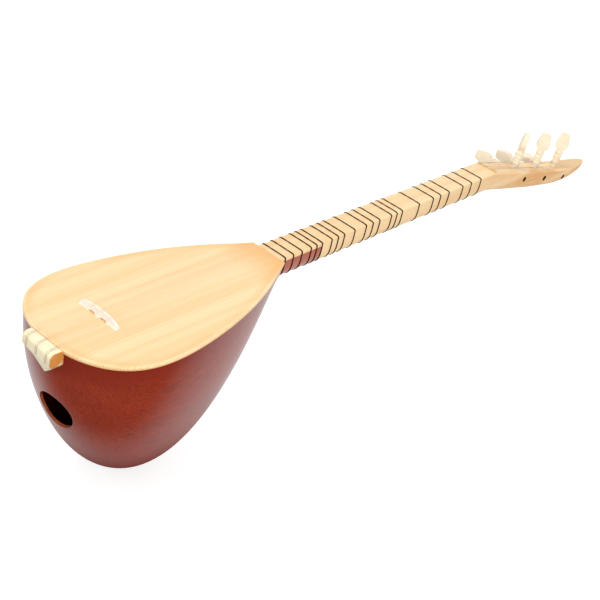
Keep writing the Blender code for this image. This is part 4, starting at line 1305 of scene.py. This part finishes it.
def build_nut():
    slope = math.tan(math.radians(HEAD_TILT))
    front = NUT_Y + CLEARANCE / 3
    back = front + NUT_LENGTH
    outline = [(front, -HEAD_DROP), (back, -HEAD_DROP - slope * NUT_LENGTH),
               (back, NUT_HEIGHT * 0.1), (back - NUT_LENGTH * 0.2, NUT_HEIGHT * 0.75),
               (back - NUT_LENGTH * 0.5, NUT_HEIGHT), (front + NUT_LENGTH * 0.08, NUT_HEIGHT),
               (front, NUT_HEIGHT * 0.85)]
    half = NUT_WIDTH / 2 - NECK_EDGE / 2
    obj = new_object("nut_strip", prism("nut_strip", outline, -half, half, "X"))
    bevelled(obj, NUT_EDGE, 3, 30)
    radius = STRING_RADIUS * NUT_SLOT
    for i in range(6):
        middle = (string_x(i, COURSES_AT_NUT), front, NUT_HEIGHT + STRING_RADIUS)
        place = Matrix.Translation(middle) @ turned_about("X", 90)
        boolean(obj, cone("string slot", radius, radius, -2 * NUT_LENGTH, NUT_LENGTH,
                          place, sides=16))
    return dress(smooth(obj, 35), nut_wood(), "body", ["nut"])


# bridge

def bridge_top(x):
    """Height of the bridge's crest at a distance from its own middle."""
    share = min(abs(x) / (BRIDGE_LENGTH / 2), 1.0)
    rise = 1 - share ** BRIDGE_TOP_CURVE
    return BRIDGE_END_HEIGHT + (BRIDGE_HEIGHT - BRIDGE_END_HEIGHT) * rise


def bridge_ring(x):
    seat, top = TOUCH, CLEARANCE + bridge_top(x)
    base, crest = BRIDGE_BASE / 2, BRIDGE_CREST / 2
    side = []
    for k in range(9):
        share = k / 8
        wide = base + (crest - base) * (1 - (1 - share) ** BRIDGE_FLANK_CURVE)
        side.append((wide, seat + (top - crest * 0.6 - seat) * share))
    for k in range(1, 5):
        a = math.pi / 2 * k / 4
        side.append((crest * math.cos(a), top - crest * 0.6 * (1 - math.sin(a))))
    whole = side + [(-y, z) for y, z in reversed(side[:-1])]
    return [(x + BRIDGE_OFFSET, BRIDGE_Y + y, z) for y, z in whole]


def build_bridge():
    half = BRIDGE_LENGTH / 2
    xs = [half * math.sin(math.pi / 2 * i / 30) for i in range(-30, 31)]
    obj = lofted("bridge_wood", [bridge_ring(x) for x in xs])
    front, back = BRIDGE_Y - BRIDGE_BASE, BRIDGE_Y + BRIDGE_BASE
    for side in (-1, 1):
        middle = BRIDGE_OFFSET + side * BRIDGE_ARCH_SPACING / 2
        wide = BRIDGE_ARCH_WIDTH / 2
        arch = [(middle + wide * math.cos(math.pi * i / 24),
                 CLEARANCE + BRIDGE_ARCH_HEIGHT * math.sin(math.pi * i / 24)) for i in range(25)]
        arch += [(middle - wide, -BRIDGE_BASE), (middle + wide, -BRIDGE_BASE)]
        boolean(obj, prism("arch", arch, front, back, "Y"))
    for i in range(6):
        x = string_x(i, COURSES_AT_BRIDGE)
        crest = CLEARANCE + bridge_top(x - BRIDGE_OFFSET)
        slot = [(x + w * STRING_RADIUS, crest - d * STRING_RADIUS) for w, d in BRIDGE_SLOT]
        boolean(obj, prism("slot", slot, front, back, "Y"))
    wood = pale_wood("bridge boxwood", finish().bridge, 0.0008, 0.5, 0.05, 0.25)
    return dress(smooth(obj, 35), wood, "bridge", ["bridge"])


# pegs, windings and strings

def bead(middle, half, low, high):
    """A turned bead on a peg: it swells from one radius to another and back."""
    points = []
    for k in range(9):
        share = k / 4 - 1
        points.append((low + (high - low) * math.sqrt(max(1 - share * share, 0.0)),
                       middle + half * share))
    return points


def peg_profile(end):
    waist = PEG_RADIUS * 0.86
    tip, edge = peg_radius(end), 0.0003
    points = [(0.0, -end), (tip - edge, -end), (tip, -end + edge), (PEG_RADIUS, 0.0)]
    points += [(PEG_RADIUS * 0.94, PEG_SHAFT - 0.0002), (PEG_RADIUS * 0.90, PEG_SHAFT)]
    points += bead(PEG_SHAFT + 0.0012, 0.0011, PEG_RADIUS * 0.9, PEG_RADIUS * 1.14)
    points += bead(PEG_SHAFT + 0.0042, 0.0015, waist, PEG_RADIUS * 1.18)
    points += [(PEG_COLLAR_RADIUS * 0.90, PEG_COLLAR_AT - 0.0010)]
    points += bead(PEG_COLLAR_AT + 0.0005, 0.0011, PEG_COLLAR_RADIUS * 0.88, PEG_COLLAR_RADIUS)
    points += [(waist, PEG_HANDLE_AT + 0.0004), (waist * 0.8, PEG_HANDLE_AT + 0.0040),
               (0.0, PEG_HANDLE_AT + 0.0040)]
    return points


def turned(name, profile, matrix, sides=56):
    """Turn a profile, which starts and ends on the axis, round Z."""
    bm = bmesh.new()
    first = bm.verts.new((0.0, 0.0, profile[0][1]))
    last = bm.verts.new((0.0, 0.0, profile[-1][1]))
    rows = [[bm.verts.new((r * math.cos(a), r * math.sin(a), z)) for a in angles_round(sides)]
            for r, z in profile[1:-1]]
    for i in range(sides):
        j = (i + 1) % sides
        bm.faces.new((first, rows[0][j], rows[0][i]))
        bm.faces.new((last, rows[-1][i], rows[-1][j]))
        for a, b in zip(rows, rows[1:]):
            bm.faces.new((a[i], a[j], b[j], b[i]))
    bmesh.ops.transform(bm, matrix=matrix, verts=bm.verts)
    return mesh_from_bmesh(name, bm)


def peg_handle(matrix):
    """The flat, six-cornered finger piece of a peg, its edges well rounded."""
    half = PEG_HANDLE_WIDTH / 2
    tall = PEG_LENGTH - PEG_HANDLE_AT
    outline = [(half * w, PEG_HANDLE_AT + tall * h) for w, h in PEG_HANDLE_SIDE]
    outline += [(-x, z) for x, z in reversed(outline)]
    thick = PEG_HANDLE_THICKNESS / 2
    middle = PEG_HANDLE_AT + tall * 0.5
    rings = []
    flat, small = thick * 0.80, 0.93
    for depth, shrink in ((-thick, small), (-flat, 1.0), (flat, 1.0), (thick, small)):
        rings.append([(x * shrink, depth * (1 - 0.18 * (z - PEG_HANDLE_AT) / tall),
                       middle + (z - middle) * (1 - (1 - shrink) * 0.5)) for x, z in outline])
    obj = bevelled(lofted("handle", rings), PEG_HANDLE_EDGE, 3, 12)
    mesh = obj.data
    bpy.data.objects.remove(obj, do_unlink=True)
    mesh.transform(matrix)
    return mesh


def build_pegs():
    wood = pale_wood("peg wood", finish().peg, 0.0011, 0.38, 0.12, 0.45)
    for name, place, through, recess, turn in peg_places():
        standing = place @ turned_about("Z", turn)
        label = name + "_turned"
        obj = new_object(label, turned(label, peg_profile(through - recess), standing))
        boolean(obj, peg_handle(standing), "UNION")
        dress(smooth(obj, 32), wood, name, [name])


def winding_radius():
    return PEG_RADIUS + TOUCH + STRING_RADIUS


def build_windings(steel):
    height = WIND_PITCH * WIND_TURNS
    coil = grown("winding", "Winding", Turns=float(WIND_TURNS), Radius=winding_radius(),
                 Height=height, Sides=8, Material=steel, String_radius=STRING_RADIUS)
    for name, place, _, _, _ in peg_places():
        label = name.replace("peg", "winding")
        mesh = coil.data.copy()
        mesh.transform(place @ Matrix.Translation((0.0, 0.0, WIND_START)))
        obj = new_object(label + "_wire", mesh)
        dress(smooth(obj, 60), steel, name, [label])
    bpy.data.objects.remove(coil, do_unlink=True)


def tail_run(x):
    """From the tie hole up the block's face and over its rounded top."""
    lift = STRING_RADIUS + TOUCH
    wood = block_face(x)
    run = [Vector((x, wood + STRING_TIE_DEPTH * 0.7, -STRING_TIE_DOWN))]
    for k in range(6):
        a = math.pi / 2 * k / 5
        run.append(Vector((x, wood - lift + STRING_TIE_BEND * (1 - math.sin(a)),
                           -STRING_TIE_DOWN + STRING_TIE_BEND * (1 - math.cos(a)))))
    radius = BLOCK_ROUND + lift
    for i in range(15):
        a = math.radians(180 - 84 * i / 14)
        run.append(Vector((x, wood + BLOCK_ROUND + radius * math.cos(a),
                           -BLOCK_ROUND + radius * math.sin(a))))
    return run


def wound_end(place):
    """Where a string meets the first of its own turns on a peg."""
    return place @ Vector((winding_radius() + 1.6 * STRING_RADIUS, 0.0, WIND_START))


def side_route(index, x):
    """From the nut over the bass edge of the head to the top of a side peg."""
    end = wound_end(side_peg_matrix(index)[0])
    head = head_matrix()
    local = head.inverted() @ end
    edge_x = -NUT_WIDTH / 2
    share = (edge_x - x) / (local.x - x)
    edge = Vector((edge_x - CLEARANCE / 2, local.y * share, STRING_RADIUS + CLEARANCE / 2))
    return [head @ edge, end]


def string_run(i):
    nut_x, bridge_x = string_x(i, COURSES_AT_NUT), string_x(i, COURSES_AT_BRIDGE)
    run = tail_run(string_x(i, COURSES_AT_TAIL))
    over = STRING_RADIUS + TOUCH
    crest = CLEARANCE + bridge_top(bridge_x - BRIDGE_OFFSET)
    run.append(Vector((bridge_x, BRIDGE_Y, crest + over - STRING_RADIUS)))
    for share in (0.1, 0.5):
        run.append(Vector((nut_x, NUT_Y + CLEARANCE + NUT_LENGTH * share, NUT_HEIGHT + over)))
    return run + (side_route(i, nut_x) if i < 3 else [wound_end(front_peg_matrix(i - 3)[0])])


def build_strings(steel):
    points, edges = [], []
    for i in range(6):
        run = string_run(i)
        first = len(points)
        points += run
        edges += [(k, k + 1) for k in range(first, first + len(run) - 1)]
    obj = grown("strings", "Strings", points, edges, Sides=sizes().string_sides,
                Material=steel, String_radius=STRING_RADIUS)
    nodes = ["string_%d" % (i + 1) for i in range(6)]
    return dress(smooth(obj, 60), steel, "body", nodes)


# stage

def looked_at(t, in_gloss):
    """Whether a ray comes from the camera, through glass or, in part, off a gloss."""
    path = t.add("ShaderNodeLightPath").outputs
    glossy = t.math("MULTIPLY", path["Is Glossy Ray"], in_gloss)
    seen = t.math("MAXIMUM", path["Is Camera Ray"], glossy)
    return t.math("MAXIMUM", seen, path["Is Transmission Ray"])


def lit_floor():
    """Pale floor, white to the camera and in reflections, with the shadow; clear from below."""
    mat, t, shader = new_material("pale floor")
    for key, value in (("Base Color", tint([FLOOR_GREY] * 3)), ("Roughness", 0.9),
                       ("Specular IOR Level", 0.0), ("Emission Color", tint(WHITE))):
        shader.inputs[key].default_value = value
    glow = t.math("MULTIPLY", looked_at(t, FLOOR_IN_GLOSS), FLOOR_GLOW)
    t.link(glow, shader.inputs["Emission Strength"])
    mixed = t.add("ShaderNodeMixShader",
                  {"Fac": t.add("ShaderNodeNewGeometry").outputs["Backfacing"],
                   1: shader.outputs[0], 2: t.add("ShaderNodeBsdfTransparent").outputs[0]})
    t.link(mixed.outputs[0], t.tree.nodes["Material Output"].inputs["Surface"])
    return mat


def white_world(level):
    """Even light from all round, plain white to the camera and in reflections."""
    world = bpy.data.worlds.new("white studio")
    bpy.context.scene.world = world
    world.use_nodes = True
    t = Tree(world.node_tree)
    ground = world.node_tree.nodes["Background"]
    ground.inputs["Color"].default_value = tint(WHITE)
    strength = t.math("MULTIPLY_ADD", looked_at(t, 1.0), 1.0 - level, level)
    t.link(strength, ground.inputs["Strength"])


def soft_lamp(name, place, size, watts):
    lamp = bpy.data.lights.new(name, "AREA")
    lamp.shape = "DISK"
    lamp.size = size
    lamp.energy = watts * finish().lamp
    obj = new_object(name, lamp)
    obj.location = place
    ahead = Vector(LAMP_TARGET) - Vector(place)
    obj.rotation_euler = ahead.to_track_quat("-Z", "Y").to_euler()


def build_camera():
    data = bpy.data.cameras.new("camera")
    data.lens, data.sensor_width = CAMERA_LENS, CAMERA_SENSOR
    data.clip_start, data.clip_end = 0.05, 50.0
    obj = new_object("camera", data)
    up, behind = [-v for v in CAMERA_DOWN], [-v for v in CAMERA_AHEAD]
    turn = Matrix((CAMERA_RIGHT, up, behind)).transposed()
    obj.matrix_world = Matrix.Translation(CAMERA_PLACE) @ turn.to_4x4()
    bpy.context.scene.camera = obj


def build_stage():
    build_camera()
    bm = bmesh.new()
    bmesh.ops.create_grid(bm, x_segments=24, y_segments=24, size=FLOOR_HALF_SIDE)
    floor = new_object("floor", mesh_from_bmesh("floor", bm))
    floor.data.transform(Matrix.Translation((*FLOOR_PLACE, CAD_BOX[0][2] - FLOOR_GAP)))
    floor.data.materials.append(lit_floor())
    white_world(SKY_LEVEL)
    for lamp in LAMPS:
        soft_lamp(*lamp)
    bpy.context.scene.view_settings.view_transform = "Standard"


# operators

class SAZ_OT_groups(bpy.types.Operator):
    """Make the node trees that the pieces and materials share."""
    bl_idname = "saz.groups"
    bl_label = "Shared node trees"

    def execute(self, context):
        for make in (section_group, neck_tree, fret_tree, winding_tree, string_tree,
                     grain_group, handling_group):
            make()
        return {"FINISHED"}


class SAZ_OT_bowl(bpy.types.Operator):
    """Carve the deep bowl with its sound hole and heel."""
    bl_idname = "saz.bowl"
    bl_label = "Bowl"

    def execute(self, context):
        build_bowl()
        return {"FINISHED"}


class SAZ_OT_soundboard(bpy.types.Operator):
    """Lay the spruce soundboard with its rounded edge."""
    bl_idname = "saz.soundboard"
    bl_label = "Soundboard"

    def execute(self, context):
        build_soundboard()
        return {"FINISHED"}


class SAZ_OT_tail_block(bpy.types.Operator):
    """Shape the block that holds the strings at the tail."""
    bl_idname = "saz.tail_block"
    bl_label = "Tail block"

    def execute(self, context):
        build_tail_block()
        return {"FINISHED"}


class SAZ_OT_neck(bpy.types.Operator):
    """Make the neck and tie its frets."""
    bl_idname = "saz.neck"
    bl_label = "Neck and frets"

    def execute(self, context):
        build_neck()
        build_frets()
        return {"FINISHED"}


class SAZ_OT_head(bpy.types.Operator):
    """Carve the head with its peg holes, and seat the nut."""
    bl_idname = "saz.head"
    bl_label = "Head and nut"

    def execute(self, context):
        build_headstock()
        build_nut()
        return {"FINISHED"}


class SAZ_OT_bridge(bpy.types.Operator):
    """Stand the arched bridge on the soundboard."""
    bl_idname = "saz.bridge"
    bl_label = "Bridge"

    def execute(self, context):
        build_bridge()
        return {"FINISHED"}


class SAZ_OT_pegs(bpy.types.Operator):
    """Turn the six pegs with their flat handles."""
    bl_idname = "saz.pegs"
    bl_label = "Pegs"

    def execute(self, context):
        build_pegs()
        return {"FINISHED"}


class SAZ_OT_strings(bpy.types.Operator):
    """String the instrument and wind the ends on the pegs."""
    bl_idname = "saz.strings"
    bl_label = "Strings"

    def execute(self, context):
        steel = string_steel()
        build_strings(steel)
        build_windings(steel)
        return {"FINISHED"}


class SAZ_OT_stage(bpy.types.Operator):
    """Set the floor, the soft lamps and the camera."""
    bl_idname = "saz.stage"
    bl_label = "Stage"

    def execute(self, context):
        build_stage()
        return {"FINISHED"}


STEPS = (SAZ_OT_groups, SAZ_OT_stage, SAZ_OT_bowl, SAZ_OT_soundboard, SAZ_OT_tail_block,
         SAZ_OT_neck, SAZ_OT_head, SAZ_OT_bridge, SAZ_OT_pegs, SAZ_OT_strings)


class SAZ_PT_panel(bpy.types.Panel):
    """Sizes, colours and one button for each step."""
    bl_idname = "SAZ_PT_panel"
    bl_label = "Cura saz"
    bl_space_type = "VIEW_3D"
    bl_region_type = "UI"
    bl_category = "Cura saz"

    def draw(self, context):
        for group in (context.scene.saz_sizes, context.scene.saz_finish):
            for key in group.__annotations__:
                self.layout.prop(group, key)
        for step in STEPS:
            self.layout.operator(step.bl_idname)


CLASSES = (SazSizes, SazFinish, *STEPS, SAZ_PT_panel)


def register():
    for item in CLASSES:
        bpy.utils.register_class(item)
    bpy.types.Scene.saz_sizes = PointerProperty(type=SazSizes)
    bpy.types.Scene.saz_finish = PointerProperty(type=SazFinish)


def unregister():
    del bpy.types.Scene.saz_finish
    del bpy.types.Scene.saz_sizes
    for item in reversed(CLASSES):
        bpy.utils.unregister_class(item)


def main():
    register()
    for step in STEPS:
        getattr(bpy.ops.saz, step.bl_idname.split(".")[1])()


if __name__ == "__main__":
    main()
